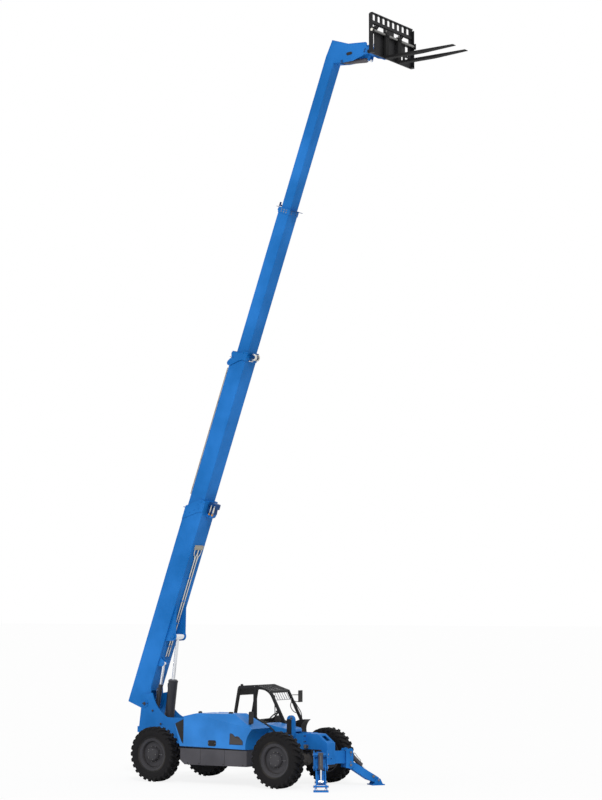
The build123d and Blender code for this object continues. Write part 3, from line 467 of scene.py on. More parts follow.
def seat_cloth(name):
    """Ribbed seat cover: narrow raised ribs across, over a fine woven grain; the ribs are painted lighter than
    the grooves between them, painted shade in the grooves.
    """
    s = Sheet(name)
    ribs = s.wave((0, 1, 0), 0.034)
    weave = s.noise(900.0, 1.0)
    # colour follows the ribs' height: painted shade in the grooves, with the weave adding a random tone
    s.set(Base_Color=s.blend(ribs * 0.5 + weave * 0.2, colour(24, 24, 26), colour(54, 54, 58)),
          Roughness=(0.78 + weave * 0.12).clamped(), Sheen_Weight=0.25)
    s.bump(ribs + weave * 0.3, 0.4, 0.003)
    return s.material


def vent_mesh(name):
    """Pressed vent panel: level rows of narrow openings between dark brown-grey bars, the openings painted
    darker still as painted shade behind them.
    """
    s = Sheet(name)
    rows = s.wave((0, 0, 1), 0.022)
    shaded_holes = s.step(rows, 0.35, 0.65)
    # the openings are painted darker than the bars: painted shade behind the openings
    s.set(Base_Color=s.blend(shaded_holes, colour(62, 56, 56), colour(34, 31, 32)), Roughness=0.6)
    s.bump(1.0 - shaded_holes, 0.4, 0.003)
    return s.material


def lamp_lens(name, base, glow):
    """A ribbed lamp lens with a faint glow, its ribs streaked towards white as a painted reflection of a bright
    reflector behind it.
    """
    s = Sheet(name)
    ribs = s.wave((0, 0, 1), 0.012)
    # the ribs are streaked towards white: painted reflection of the reflector behind the lens
    s.set(Base_Color=s.blend(ribs * 0.3, base, colour(240, 240, 240)), Roughness=0.12, Coat_Weight=1.0,
          Emission_Color=base, Emission_Strength=glow)
    s.bump(ribs, 0.3, 0.002)
    return s.material


_finishes = {}


def finishes():
    """All finishes by name, written once."""
    if _finishes:
        return _finishes
    look = bpy.context.scene.handler_looks
    blue = tuple(look.blue) + (1.0,)
    hood_blue = tuple(look.hood_blue) + (1.0,)
    charcoal = tuple(look.charcoal) + (1.0,)
    black = tuple(look.black) + (1.0,)
    made = {
        "blue": painted("boom_blue", blue, rough=0.42, dust=0.03, coat=0.0, chips=0.3, shine=0.1),
        "hood_blue": painted("hood_blue", hood_blue, rough=0.32, dust=0.04, coat=0.12, shine=0.2),
        "deep_blue": painted("bracket_blue", colour(10, 66, 124), rough=0.45, dust=0.04, coat=0.0, shine=0.15),
        "charcoal": painted("tank_charcoal", charcoal, rough=0.55, dust=0.08, coat=0.0, chips=0.2),
        "barrel": painted("barrel_charcoal", colour(44, 45, 51), rough=0.42, dust=0.04, coat=0.03, chips=0.2,
                          shine=0.25),
        "wire": painted("guard_grey", colour(150, 150, 154), rough=0.4, dust=0.03, coat=0.0),
        "rim": painted("rim_charcoal", colour(44, 44, 50), rough=0.45, dust=0.05, coat=0.0, chips=0.2,
                       shine=0.25),
        "black": painted("frame_black", black, rough=0.45, dust=0.04, coat=0.0, chips=0.3, shine=0.15),
        "iron": painted("axle_iron", colour(26, 26, 30), rough=0.6, dust=0.2, coat=0.0, chips=0.3),
        "rubber": rubber("tyre_rubber"),
        "hose": plastic("hose_rubber", colour(26, 26, 28), 0.6, 300.0, 0.2),
        "chrome": steel("chromed_rod", colour(226, 228, 232), 0.12, 0.08, (1.0, 1.0, 1.0)),
        "pin": steel("plated_pin", colour(112, 112, 116), 0.36, 0.12, (1.0, 9.0, 1.0), 0.35),
        "zinc": steel("zinc_bolt", colour(128, 128, 126), 0.34, 0.1, (1.0, 1.0, 1.0), 0.25),
        "fork": painted("fork_black", colour(18, 18, 20), rough=0.6, dust=0.03, coat=0.0, chips=0.3, shine=0.1),
        "plastic": plastic("black_plastic", colour(30, 30, 32)),
        "trim": plastic("window_seal", colour(18, 18, 19), 0.65),
        "grey_plastic": plastic("grey_plastic", colour(92, 94, 98), 0.55),
        "tilt_grey": painted("tilt_barrel_grey", colour(92, 88, 92), rough=0.45, dust=0.05, coat=0.0,
                             chips=0.2),
        "tube": steel("plated_tube", colour(212, 210, 202), 0.32, 0.12, (1.0, 1.0, 1.0), 0.15),
        "brass": steel("brass_nut", colour(196, 142, 62), 0.3, 0.1, (1.0, 1.0, 1.0), 0.2),
        "clamp": plastic("clamp_grey", colour(158, 154, 142), 0.5, 160.0),
        "tan": plastic("tan_tube", colour(150, 132, 104), 0.5, 160.0),
        "seat": seat_cloth("seat_cover"),
        "vent": vent_mesh("hood_vent_panel"),
        "mirror": steel("mirror_glass", colour(214, 220, 226), 0.03, 0.01),
        "red": lamp_lens("red_lens", colour(176, 24, 20), 0.1),
    }
    _finishes.update(made)
    return _finishes


NODE_FINISH = {
    "blue": ("boom_base", "boom_second", "boom_third", "boom_fly", "tilt_pin", "coupler", "rear_step",
             "chassis_frame", "front_frame", "stabiliser_leg_left", "stabiliser_leg_right",
             "stabiliser_foot_left", "stabiliser_foot_right"),
    "hood_blue": ("hood",),
    "charcoal": ("side_tank", "cab_support", "stabiliser_barrel_left", "stabiliser_barrel_right"),
    "barrel": ("lift_barrel", "level_barrel"),
    "tilt_grey": ("tilt_barrel",),
    "black": ("carriage", "cab_tub", "cab_frame"),
    "wire": ("cab_grille",),
    "iron": ("rear_axle", "front_axle", "knuckle_front_left", "knuckle_front_right", "knuckle_rear_left",
             "knuckle_rear_right", "engine"),
    "rim": ("rim_front_left", "rim_front_right", "rim_rear_left", "rim_rear_right"),
    "fork": ("fork_left", "fork_right"),
    "chrome": ("lift_rod", "level_rod", "tilt_rod", "stabiliser_rod_left", "stabiliser_rod_right"),
    "plastic": ("steering_wheel", "mirror", "seat_base"),
    "vent": ("hood_vents",),
}


def dress_nodes():
    """Give every CAD node that stays its finish."""
    made = finishes()
    for name, nodes in NODE_FINISH.items():
        for node in nodes:
            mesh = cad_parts[node].data
            mesh.materials.clear()
            mesh.materials.append(made[name])


# --- wheels ---------------------------------------------------------------------------------------
WHEELS = ("front_left", "front_right", "rear_left", "rear_right")
TREAD_HALF = 0.16  # from the crown's middle line to the shoulder, along the skin
BAR_LEAN = 0.62  # share of a pitch by which a bar leans at the shoulder
BAR_HALF, BAR_WIDENS = 0.235, 0.05  # half a bar's width as shares of a pitch: in the middle, more outside
TYRE_HALF = 0.1795


def tyre_surface(count, height):
    """The tyre's skin: a closed cross-section turned round the axle, pushed out along its own normal by
    height wherever a slanted bar lies. A bar's strength is the product of a smooth step in the angle from
    the bar's middle line, which leans with the distance from the crown, and one in that distance."""
    root = TYRE_RADIUS - height
    half = np.array([
        (0.3985, 0.0), (0.3985, 0.07), (0.3985, 0.128), (0.412, 0.141), (0.428, 0.1455), (0.47, 0.159),
        (0.52, 0.1655), (0.56, 0.1655), (0.59, 0.1605), (0.612, 0.150), (root - 0.002, 0.132),
        (root, 0.10), (root + 0.002, 0.05), (root + 0.003, 0.0),
    ])
    loop = np.vstack([half, half[1:-1][::-1] * (1, -1)])
    # even steps along the cross-section
    closed = np.vstack([loop, loop[:1]])
    run = np.concatenate([[0], np.cumsum(np.linalg.norm(np.diff(closed, axis=0), axis=1))])
    at = np.linspace(0, run[-1], 96, endpoint=False)
    radius = np.interp(at, run, closed[:, 0])
    across = np.interp(at, run, closed[:, 1])
    from_crown = at - run[len(half) - 1]
    section = np.stack([radius, across], -1)
    ahead = np.roll(section, -1, 0) - np.roll(section, 1, 0)
    normal = unit(np.stack([ahead[:, 1], -ahead[:, 0]], -1))
    normal *= np.sign((normal[:, 0] * (radius - 0.5) + normal[:, 1] * across).sum())
    steps = count * 18
    angle = np.linspace(0, TURN, steps, endpoint=False)
    pitch = TURN / count
    push = np.zeros((len(at), steps))
    for side in (-1, 1):
        reach = side * from_crown
        lean = pitch * (BAR_LEAN * np.clip(reach, 0, None) / TREAD_HALF)
        turn = angle[None] - lean[:, None] - (0.0 if side > 0 else pitch / 2)
        offset = np.abs((turn + pitch / 2) % pitch - pitch / 2) / pitch
        width = BAR_HALF + BAR_WIDENS * np.clip(reach / TREAD_HALF, 0, 1)
        bar_share = np.clip((width[:, None] - offset) / 0.04, 0, 1)
        inner = np.clip((reach + 0.018) / 0.012, 0, 1)
        outer = np.clip((0.214 - reach) / 0.05, 0, 1)
        share = bar_share * (inner * outer)[:, None]
        push = np.maximum(push, share * share * (3 - 2 * share))
    tall = height * np.clip((radius - 0.545) / 0.06, 0.0, 1.0)
    r = radius[:, None] + push * tall[:, None] * normal[:, :1]
    y = across[:, None] + push * tall[:, None] * normal[:, 1:]
    r = np.minimum(r, TYRE_RADIUS - 0.0004)
    y = np.clip(y, -TYRE_HALF, TYRE_HALF)
    points = np.stack([r * np.cos(angle), y, r * np.sin(angle)], -1)
    return points.reshape(-1, 3), lattice(len(at), steps, wrap_rows=True, wrap_columns=True)


def make_tyres():
    """Four tyres with slanted bars that wrap onto the shoulders."""
    look = bpy.context.scene.handler_looks
    points, faces = tyre_surface(look.bars_a_side, look.bar_height)
    for wheel in WHEELS:
        centre = np.array(middle("tyre_" + wheel))
        side = 1.0 if "left" in wheel else -1.0
        shape = (points * (1.0, side, 1.0) + centre, faces)
        piece("tread_" + wheel, "wheel_" + wheel, "rubber", shape, sharp=60, stands_for=("tyre_" + wheel,))


BEAD = [(0.399, 0.139), (0.432, 0.139), (0.437, 0.146), (0.434, 0.1515), (0.424, 0.1515), (0.42, 0.146),
        (0.399, 0.143)]
NUTS = 10


def make_wheel_fittings():
    """On each wheel: the dark joint between tyre and rim, a black ring of painted shade in the rim's gutter,
    studs through the nuts, cap bolts and a valve.
    """
    a = np.linspace(0, TURN, NUTS, endpoint=False)
    ring = np.stack([np.cos(a), np.zeros(NUTS), np.sin(a)], -1)
    # a black ring round the disc's edge in the rim's gutter: painted shade
    gutter_shade = arc((0.3085, 0.0705), 0.0085, 0, 315, 8)
    gutter_shade += gutter_shade[:1]
    for wheel in WHEELS:
        centre = np.array(middle("tyre_" + wheel))
        side = 1.0 if "left" in wheel else -1.0
        axis = (0.0, side, 0.0)
        out = np.array(axis)
        body = "wheel_" + wheel
        stud = button((0, 0, 0), axis, 0.0075, 0.012, 0.0055, 0.014, 10)
        cap = button((0, 0, 0), axis, 0.009, 0.006, 0.007, 0.008, 6)
        piece("bead_and_gutter_shade_" + wheel, body, "trim", turned(centre, axis, BEAD, 96), turned(centre, axis, gutter_shade, 80))
        piece("studs_" + wheel, body, "zinc", repeated(stud, centre + ring * 0.185 + out * 0.0725),
              repeated(cap, centre + ring[::2] * 0.118 + out * 0.1525))
        low = centre + np.array((0.30, side * 0.094, 0.0))
        bend = [low + (x, side * y, 0) for x, y in ((0, 0), (0, 0.03), (-0.012, 0.05), (-0.04, 0.058))]
        piece("valve_" + wheel, body, "pin", swept(smooth_path(bend, 12), 0.006, 8))


# --- seat -----------------------------------------------------------------------------------------
SEAT_Y = 0.74
BACKREST_TILT = math.radians(9)


def cushion_surface(size, crown, pull, rows=44):
    """A padded block: on the cube's surface each direction is raised to a power, which rounds the edges, the
    middle of each face is crowned, and the sides are drawn in between the corners."""
    t = np.linspace(-1, 1, rows)
    u, v = np.meshgrid(t, t, indexing="ij")
    one = np.ones_like(u)
    sides = []
    for axis in range(3):
        for sign in (-1, 1):
            p = [u, v]
            p.insert(axis, sign * one)
            sides.append(np.stack(p, -1).reshape(-1, 3))
    cube = np.concatenate(sides)
    p = cube / (np.abs(cube) ** 7).sum(-1, keepdims=True) ** (1 / 7)
    p[:, 2:3] *= 1 + crown * (1 - p[:, :1] ** 2) * (1 - p[:, 1:2] ** 2)
    p[:, 0] *= 1 - pull * (1 - p[:, 1] ** 2)
    p[:, 1] *= 1 - pull * (1 - p[:, 0] ** 2)
    faces = []
    grid = lattice(rows, rows)
    for k in range(len(sides)):
        faces.extend([[i + k * rows * rows for i in face] for face in grid])
    return p * np.asarray(size) / 2, faces


def plump(made, voxel, pressure, most):
    """Swell a closed pad as stuffed cloth: remesh it, let the cloth's pressure fill it for twenty steps, and
    keep every point within the most that it may move."""
    bpy.context.view_layer.objects.active = made
    for other in bpy.context.selected_objects:
        other.select_set(False)
    made.select_set(True)
    made.data.remesh_voxel_size = voxel
    bpy.ops.object.voxel_remesh()
    before = np.zeros(len(made.data.vertices) * 3)
    made.data.vertices.foreach_get("co", before)
    cloth = made.modifiers.new("stuffing", "CLOTH")
    cloth.settings.quality = 4
    cloth.settings.use_pressure = True
    cloth.settings.uniform_pressure_force = pressure
    cloth.settings.effector_weights.gravity = 0
    for step in range(1, 21):
        bpy.context.scene.frame_set(step)
    graph = bpy.context.evaluated_depsgraph_get()
    after = np.zeros_like(before)
    made.evaluated_get(graph).data.vertices.foreach_get("co", after)
    made.modifiers.remove(cloth)
    bpy.context.scene.frame_set(1)
    move = (after - before).reshape(-1, 3)
    far = np.linalg.norm(move, axis=1, keepdims=True)
    move *= np.minimum(1.0, most / np.maximum(far, 1e-9))
    made.data.vertices.foreach_set("co", (before.reshape(-1, 3) + move).ravel())
    made.data.update()


def make_seat():
    """The operator's seat: a cushion and a backrest with raised side bolsters. A point's bolster grows with
    its distance from the middle line; then the pad is turned about the crosswise axis."""
    x = float(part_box("seat")[0].x) - DATUM_X
    pads = (
        ("seat_cushion", (0.455, 0.45, 0.105), (x + 0.33, SEAT_Y, 0.963), 0.0),
        ("seat_backrest", (0.45, 0.40, 0.095), (x + 0.115, SEAT_Y, 1.262), math.pi / 2 + BACKREST_TILT),
    )
    for name, size, centre, lean in pads:
        points, faces = cushion_surface(size, 0.10, 0.03)
        across = np.abs(points[:, 1]) / (size[1] / 2)
        bolster = 0.018 * np.clip((across - 0.55) / 0.2, 0, 1) * np.clip(points[:, 2] / (size[2] / 2), 0, 1)
        points[:, 2] += bolster
        c, s = math.cos(lean), math.sin(lean)
        leaning = np.stack([points[:, 0] * c + points[:, 2] * s, points[:, 1],
                            -points[:, 0] * s + points[:, 2] * c], -1)
        made = piece(name, "chassis", "seat", (machine(leaning + centre), faces), sharp=70,
                     stands_for=("seat",))
        plump(made, 0.006, 4.0, 0.008)
        made.data.shade_smooth()


# --- cab ------------------------------------------------------------------------------------------
CAB_NEAR, CAB_FAR = 0.35, 1.15
SEAL_WIDTH, SEAL_DEPTH = 0.012, 0.056


def side_view(p):
    """Outline points (ahead, up) with depth as the distance to the left."""
    return machine(p)


def facing_ahead(p):
    """Outline points (left, up) with depth as the distance ahead."""
    p = np.asarray(p, float)
    return machine(np.stack([p[..., 1], p[..., 0], p[..., 2]], -1))


def bulged(start, mid, end, count=7):
    """Points on the arc through three points: its centre is equally far from all three."""
    ax, az = start
    bx, bz = mid
    cx, cz = end
    a2, b2, c2 = (x ** 2 + z ** 2 for x, z in (start, mid, end))
    d = 2 * (ax * (bz - cz) + bx * (cz - az) + cx * (az - bz))
    ux = (a2 * (bz - cz) + b2 * (cz - az) + c2 * (az - bz)) / d
    uz = (a2 * (cx - bx) + b2 * (ax - cx) + c2 * (bx - ax)) / d
    r = math.hypot(ax - ux, az - uz)
    a = np.unwrap([math.atan2(z - uz, x - ux) for x, z in (start, mid, end)])
    a = np.interp(np.linspace(0, 2, count), (0, 1, 2), a)
    return np.stack([ux + r * np.cos(a), uz + r * np.sin(a)], -1).tolist()


REAR_PANE = [(-0.508, 1.422), (-0.344, 2.238), (0.083, 2.26), (0.083, 1.502)]
FAR_PANE = [(-0.508, 1.422), (-0.344, 2.238), (0.14, 2.283), (0.558, 2.188), (0.967, 1.442), (0.56, 1.432),
            (0.15, 1.502)]
DOOR_PANE = ([(0.165, 1.516), (0.14, 1.56)] + bulged((0.14, 2.12), (0.185, 2.225), (0.29, 2.24))
             + bulged((0.29, 2.24), (0.47, 2.2), (0.605, 2.085))[1:]
             + [(0.945, 1.47), (0.9, 1.425), (0.56, 1.42), (0.34, 1.465)])


def inset(outline, gap):
    """A closed outline moved inward by a gap: each corner along the mean of its two edges' normals."""
    p = np.asarray(outline, float)
    before, after = unit(p - np.roll(p, 1, 0)), unit(np.roll(p, -1, 0) - p)
    area = (p[:, 0] * np.roll(p[:, 1], -1) - np.roll(p[:, 0], -1) * p[:, 1]).sum()
    turn = 1.0 if area > 0 else -1.0
    n1 = np.stack([-before[:, 1], before[:, 0]], -1) * turn
    n2 = np.stack([-after[:, 1], after[:, 0]], -1) * turn
    mean = unit(n1 + n2)
    return p + mean * (gap / np.clip((mean * n1).sum(-1, keepdims=True), 0.4, 1))


def seal(outline, y):
    """A rubber strip round a window: the outline less itself moved in by the width, as one flat ring."""
    outer, inner = inset(outline, 0.0004), inset(outline, SEAL_WIDTH)
    count = len(outer)
    rows = [np.stack([o[:, 0], np.full(count, level), o[:, 1]], -1)
            for o, level in ((outer, y), (outer, y + SEAL_DEPTH), (inner, y + SEAL_DEPTH), (inner, y))]
    return machine(np.concatenate(rows)), lattice(4, count, wrap_rows=True, wrap_columns=True)


def make_openings():
    """Rubber edging round the open cab's side openings, and the ribbed guard over its roof."""
    seals = [seal(REAR_PANE, CAB_NEAR - 0.003), seal(DOOR_PANE, CAB_NEAR - 0.003),
             seal(FAR_PANE, CAB_FAR - 0.053)]
    piece("opening_edges", "chassis", "trim", *seals, bevel=0.003)
    arch = np.array(bulged((0.10, 2.322), (0.34, 2.285), (0.575, 2.208), 14))
    guard = np.concatenate([arch, arch[::-1] - (0.0, 0.006)])
    ribs = [prism(guard, side_view, y, y + 0.022) for y in np.linspace(0.405, 1.073, 15)]
    bars = [rod(machine((x, 0.4005, z - 0.009)), machine((x, 1.0995, z - 0.009)), 0.009, 8, 0.002)
            for x, z in arch[1::2]]
    piece("roof_guard", "chassis", "black", *ribs, *bars)


CAB_RAILS = (  # points, radius, points along the bend, sides of the tube
    ([(0.965, 1.075, 1.36), (1.01, 1.085, 1.50), (0.985, 1.09, 1.66), (0.89, 1.09, 1.80), (0.775, 1.085, 1.955),
      (0.742, 1.05, 1.992)], 0.011, 40, 12),
    ([(0.13, 1.152, 1.42), (0.13, 1.195, 1.44), (0.128, 1.20, 1.52), (0.118, 1.20, 1.98), (0.118, 1.195, 2.04),
      (0.12, 1.152, 2.06)], 0.012, 40, 12),
    ([(0.94, 1.075, 1.66), (0.80, 1.09, 1.665), (0.70, 1.10, 1.74), (0.665, 1.10, 1.83), (0.70, 1.09, 1.92),
      (0.745, 1.06, 1.985)], 0.010, 36, 10),
    ([(0.70, 1.149, 1.93), (0.712, 1.18, 1.93), (0.745, 1.25, 1.92), (0.77, 1.31, 1.915)], 0.009, 24, 10),
)
UP = (0, 0, 1)


def make_cab_fittings():
    """The cab's lower door and front panel, rails, rear lamp, mirror glass, door hinges and handle."""
    door = [(-0.555, 0.785), (0.945, 0.785), (0.945, 1.348), (-0.555, 1.348)]
    piece("cab_door_lower", "chassis", "black", prism(door, side_view, 1.106, 1.144), bevel=0.008)
    front = [(0.955, 1.203), (0.999, 1.203), (1.018, 1.348), (0.990, 1.348)]
    piece("cab_front_panel", "chassis", "black", prism(front, side_view, 0.352, 1.148), bevel=0.003)
    piece("cab_rails", "chassis", "plastic", *[pipe(*rail) for rail in CAB_RAILS])
    lamp = [(0, 0), (0.034, 0), (0.036, 0.012), (0.034, 0.045), (0.02, 0.055), (0, 0.056)]
    piece("rear_lamp", "chassis", "plastic", turned(machine((-0.325, 0.42, 2.297)), UP, lamp, 24))
    # the glass is set in the housing's rear face
    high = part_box("mirror")[1]
    y_mid = float(high.y) - 0.075
    x_face = float(high.x) - 0.0305

    def mirror_face(p):
        return np.stack([x_face - p[..., 1], y_mid + p[..., 0], 2.045 + p[..., 2]], -1)

    outline = rounded((-0.066, -0.132), (0.066, 0.132), 0.02)
    piece("mirror_glass", "chassis", "mirror", prism(outline, mirror_face, 0.0, 0.002))
    hinges = [block((0.055, 1.1505, z), (0.135, 1.166, z + 0.05)) for z in (1.45, 2.0)]
    hinges += [rod(machine((0.10, 1.166, z)), machine((0.10, 1.166, z + 0.06)), 0.011, 12, 0.003)
               for z in (1.445, 1.995)]
    handle = pipe([(0.70, 1.146, 1.22), (0.71, 1.186, 1.225), (0.74, 1.192, 1.225), (0.84, 1.192, 1.225),
                   (0.87, 1.186, 1.225), (0.88, 1.146, 1.22)], 0.011)
    piece("cab_door_fittings", "chassis", "plastic", *hinges, handle, bevel=0.002)
    spots = [(x, CAB_NEAR - 0.002, z)
             for x, z in ((-0.50, 1.375), (-0.10, 1.395), (0.12, 1.42), (0.60, 1.375), (0.97, 1.385),
                          (-0.385, 2.255), (0.11, 2.30), (0.57, 2.19))]
    piece("cab_bolts", "chassis", "zinc", *bolts(machine(spots), (0, -1, 0), 0.009))
    make_cab_inside()


def make_cab_inside():
    """Under the operator's hands and feet: the seat's bellows and armrest, levers, knob, display and mat.
    The bellows' radius is a cosine of the height."""
    fold = np.linspace(0, 1, 15)
    folds = 0.165 + 0.012 * np.cos(fold * TURN * 6)
    bellows = [(0, 0)] + list(zip(folds, fold * 0.085)) + [(0, 0.085)]
    piece("seat_bellows", "chassis", "trim", turned(machine((-0.1, SEAT_Y, 0.812)), UP, bellows, 40))
    arm = [block((-0.33, 0.995, 1.165), (0.02, 1.055, 1.205)), block((-0.34, 1.0, 0.98), (-0.29, 1.05, 1.17))]
    piece("seat_armrest", "chassis", "plastic", *arm, bevel=0.012)
    stick = [(0, 0), (0.014, 0.002), (0.02, 0.03), (0.019, 0.07), (0.012, 0.088), (0, 0.092)]
    grip = [(0, 0), (0.011, 0.004), (0.015, 0.02), (0.01, 0.034), (0, 0.038)]
    knob = [(0, 0), (0.012, 0.0), (0.012, 0.02), (0.022, 0.035), (0.024, 0.055), (0.014, 0.07), (0, 0.073)]
    levers = [rod(machine((0.03, 1.025, 1.20)), machine((0.055, 1.025, 1.295)), 0.007, 10, 0.002),
              turned(machine((0.055, 1.025, 1.285)), (0.25, 0, 1), stick, 18),
              rod(machine((0.34, 0.60, 1.38)), machine((0.36, 0.575, 1.46)), 0.006, 8, 0.002),
              turned(machine((0.36, 0.575, 1.455)), (0.3, -0.2, 1), grip, 14)]
    piece("cab_levers", "chassis", "plastic", *levers)
    piece("steering_knob", "chassis", "plastic",
          turned(machine((0.533, 0.75, 1.655)), (-0.75, 0, 0.66), knob, 20))
    display = [block((0.62, 0.50, 1.44), (0.655, 0.70, 1.60)),
               rod(machine((0.65, 0.60, 1.30)), machine((0.64, 0.60, 1.46)), 0.012, 10, 0.002)]
    piece("cab_display", "chassis", "plastic", *display, bevel=0.006)
    piece("cab_mat", "chassis", "trim", block((-0.10, 0.42, 0.7605), (0.50, 1.07, 0.766)), bevel=0.002)


# --- hood and sides -------------------------------------------------------------------------------
HOOD_Y, TANK_Y = -1.15, -1.14
TO_RIGHT = (0, -1, 0)


def make_hood_fittings():
    """On the hood: shut line, latch, dark wedge, vent panel, filler and rain caps; the mirror ahead of it."""
    y = HOOD_Y
    shut_line = [(-1.036, y - 0.0005, 0.888), (-0.5, y - 0.0005, 0.888), (0.917, y - 0.0005, 0.868)]
    piece("hood_seams", "hood", "trim", swept(machine(shut_line), 0.0045, 6))
    wedge = [(-1.185, 1.43), (-0.925, 1.545), (-0.925, 1.43), (-0.93, 1.15), (-0.935, 0.95), (-0.985, 1.0),
             (-1.09, 1.215)]
    piece("hood_rear_panel", "hood", "black", prism(wedge, side_view, y - 0.0015, y + 0.001))
    vent = [(0.455, 0.985), (0.845, 0.985), (0.845, 1.06), (0.80, 1.11), (0.60, 1.175), (0.56, 1.225),
            (0.50, 1.245), (0.47, 1.235)]
    piece("hood_vent_panel", "hood", "vent", prism(vent, side_view, y - 0.003, y + 0.001), bevel=0.001)
    rim = [(x, y - 0.003, z) for x, z in vent + vent[:1]]
    piece("hood_vent_rim", "hood", "trim", swept(machine(rim), 0.004, 6))
    latch = [
        prism(rounded((-0.185, 0.925), (0.055, 1.065), 0.045, 7), side_view, y - 0.007, y + 0.002),
        prism(rounded((-0.135, 0.962), (0.005, 1.028), 0.022, 6), side_view, y - 0.014, y - 0.005),
        block((-0.108, y - 0.022, 0.988), (-0.022, y - 0.012, 1.004)),
    ]
    piece("hood_latch", "hood", "plastic", *latch, bevel=0.002)
    spots = [(x, y - 0.007, 0.995) for x in (-0.162, 0.032)]
    piece("hood_latch_bolts", "hood", "zinc", *bolts(machine(spots), TO_RIGHT, 0.008))
    filler = [(0, 0), (0.06, 0), (0.062, 0.012), (0.058, 0.02), (0.05, 0.024), (0.048, 0.034), (0, 0.036)]
    piece("hood_cap", "hood", "trim", turned(machine((0.165, -0.70, 1.69)), UP, filler, 30))
    rain = [(0, -0.02), (0.045, -0.02), (0.05, 0.0), (0.05, 0.05), (0.04, 0.07), (0.015, 0.078), (0, 0.078)]
    piece("rain_cap", "hood", "plastic", turned(machine((-0.70, -0.78, 1.648)), UP, rain, 26))
    make_front_mirror()


def make_front_mirror():
    """The right-hand mirror, on a bent stalk from the hood's front slope, its glass facing back."""
    x0, x1 = 0.93, 0.965

    def pane(margin, radius, rear, front):
        low, high = (-1.04 + margin, 1.475 + margin), (-0.86 - margin, 1.765 - margin)
        return prism(rounded(low, high, radius, 6), facing_ahead, rear, front)

    shell = [pane(0.0, 0.035, x0 + 0.004, x1 - 0.008), pane(0.014, 0.028, x0 + 0.02, x1)]
    piece("front_mirror", "hood", "plastic", *shell, bevel=0.006)
    piece("front_mirror_glass", "hood", "mirror", pane(0.012, 0.024, x0 + 0.001, x0 + 0.005))
    stalk = [pipe([(0.90, -0.95, 1.455), (0.915, -0.95, 1.50), (0.94, -0.95, 1.54), (0.952, -0.95, 1.58)],
                  0.010, 20),
             block((0.875, -0.985, 1.462), (0.93, -0.915, 1.478))]
    piece("front_mirror_stalk", "hood", "plastic", *stalk, bevel=0.002)


def make_side_fittings():
    """On the tank's cover its thin dark joints and bolts, the cab's steps, and rigid lines along the frame."""
    y = TANK_Y - 0.0005
    joints = [swept(machine([(x, y, 0.49), (x, y, 0.845)]), 0.003, 6) for x in (-0.42, 0.30)]
    joints.append(swept(machine([(-0.90, y, 0.852), (0.945, y, 0.852)]), 0.004, 6))
    piece("tank_joints", "chassis", "trim", *joints)
    spots = [(x, TANK_Y, 0.50) for x in (-0.80, -0.46, 0.26, 0.84)]
    piece("tank_bolts", "chassis", "trim", *bolts(machine(spots), TO_RIGHT, 0.010))
    treads = []
    for z in (0.505, 0.69):
        treads.append(block((0.05, 1.152, z), (0.50, 1.262, z + 0.022)))
        treads += [block((x, 1.158, z + 0.0215), (x + 0.018, 1.256, z + 0.029))
                   for x in np.arange(0.07, 0.48, 0.045)]
    treads += [block((x, 1.1505, 0.44), (x + 0.02, 1.256, 0.80)) for x in (0.05, 0.48)]
    piece("cab_steps", "chassis", "black", *treads, bevel=0.002)
    runs = []
    for k in range(4):
        z = 1.02 + 0.03 * k
        run = [(x, 0.325, z) for x in (-1.2, -0.6, 0.3, 0.95)]
        run += [(1.35, 0.325, z - 0.01), (1.62, 0.325, z - 0.03)]
        runs.append(pipe(run, 0.009, 40, 8))
    piece("frame_lines", "chassis", "hose", *runs)
    clamps = [block((x, 0.311, 1.0), (x + 0.03, 0.338, 1.13)) for x in (-1.0, 0.2, 1.3)]
    piece("line_clamps", "chassis", "plastic", *clamps, bevel=0.003)


# --- boom -----------------------------------------------------------------------------------------
SIDE_NAMES = {1: "left", -1: "right"}
SECTIONS = (  # name, first weld, mouth, underside, upper side, half width, what the weld leaves free
    ("boom_base", 0.45, 5.332, 0.021, 0.574, 0.245, 0.66),
    ("boom_second", 5.35, 9.1, 0.090, 0.542, 0.215, 0.14 + 0.002),
    ("boom_third", 9.12, 12.85, 0.118, 0.448, 0.182, 0.14 + 0.002),
    ("boom_fly", 12.87, 16.7, 0.138, 0.414, 0.150, 0.02),
)
BASE_HALF = SECTIONS[0][5]
BOOM_AHEAD = unit(boom((1, 0, 0)) - boom((0, 0, 0)))
BOOM_UP = boom((0, 0, 1)) - boom((0, 0, 0))
LIFT_FOOT, LEVEL_FOOT = (-2.28, 1.35), (-2.54, 1.67)
LIFT_EYE, LEVEL_EYE = (1.842, -0.158), (1.10, -0.088)
HEAD_PIVOT, TILT_FOOT = (17.051, -0.749), (16.652, -0.086)


def bead(start, end, radius=0.0035):
    """A weld bead: a thin round bar whose radius ripples along it as a sine."""
    start, end = np.asarray(start, float), np.asarray(end, float)
    length = float(np.linalg.norm(end - start))
    count = max(8, min(160, int(length / 0.02)))
    t = np.linspace(0, 1, count)[:, None]
    return swept(start + (end - start) * t, radius * (1 + 0.18 * np.sin(np.arange(count) * 2.1)), 6)


def both_sides(spots, size):
    """Bolt heads at places on the boom's right side and at their mirror images on its left."""
    left = [(x, -y, z) for x, y, z in spots]
    return bolts(boom(spots), TO_RIGHT, size) + bolts(boom(left), (0, 1, 0), size)


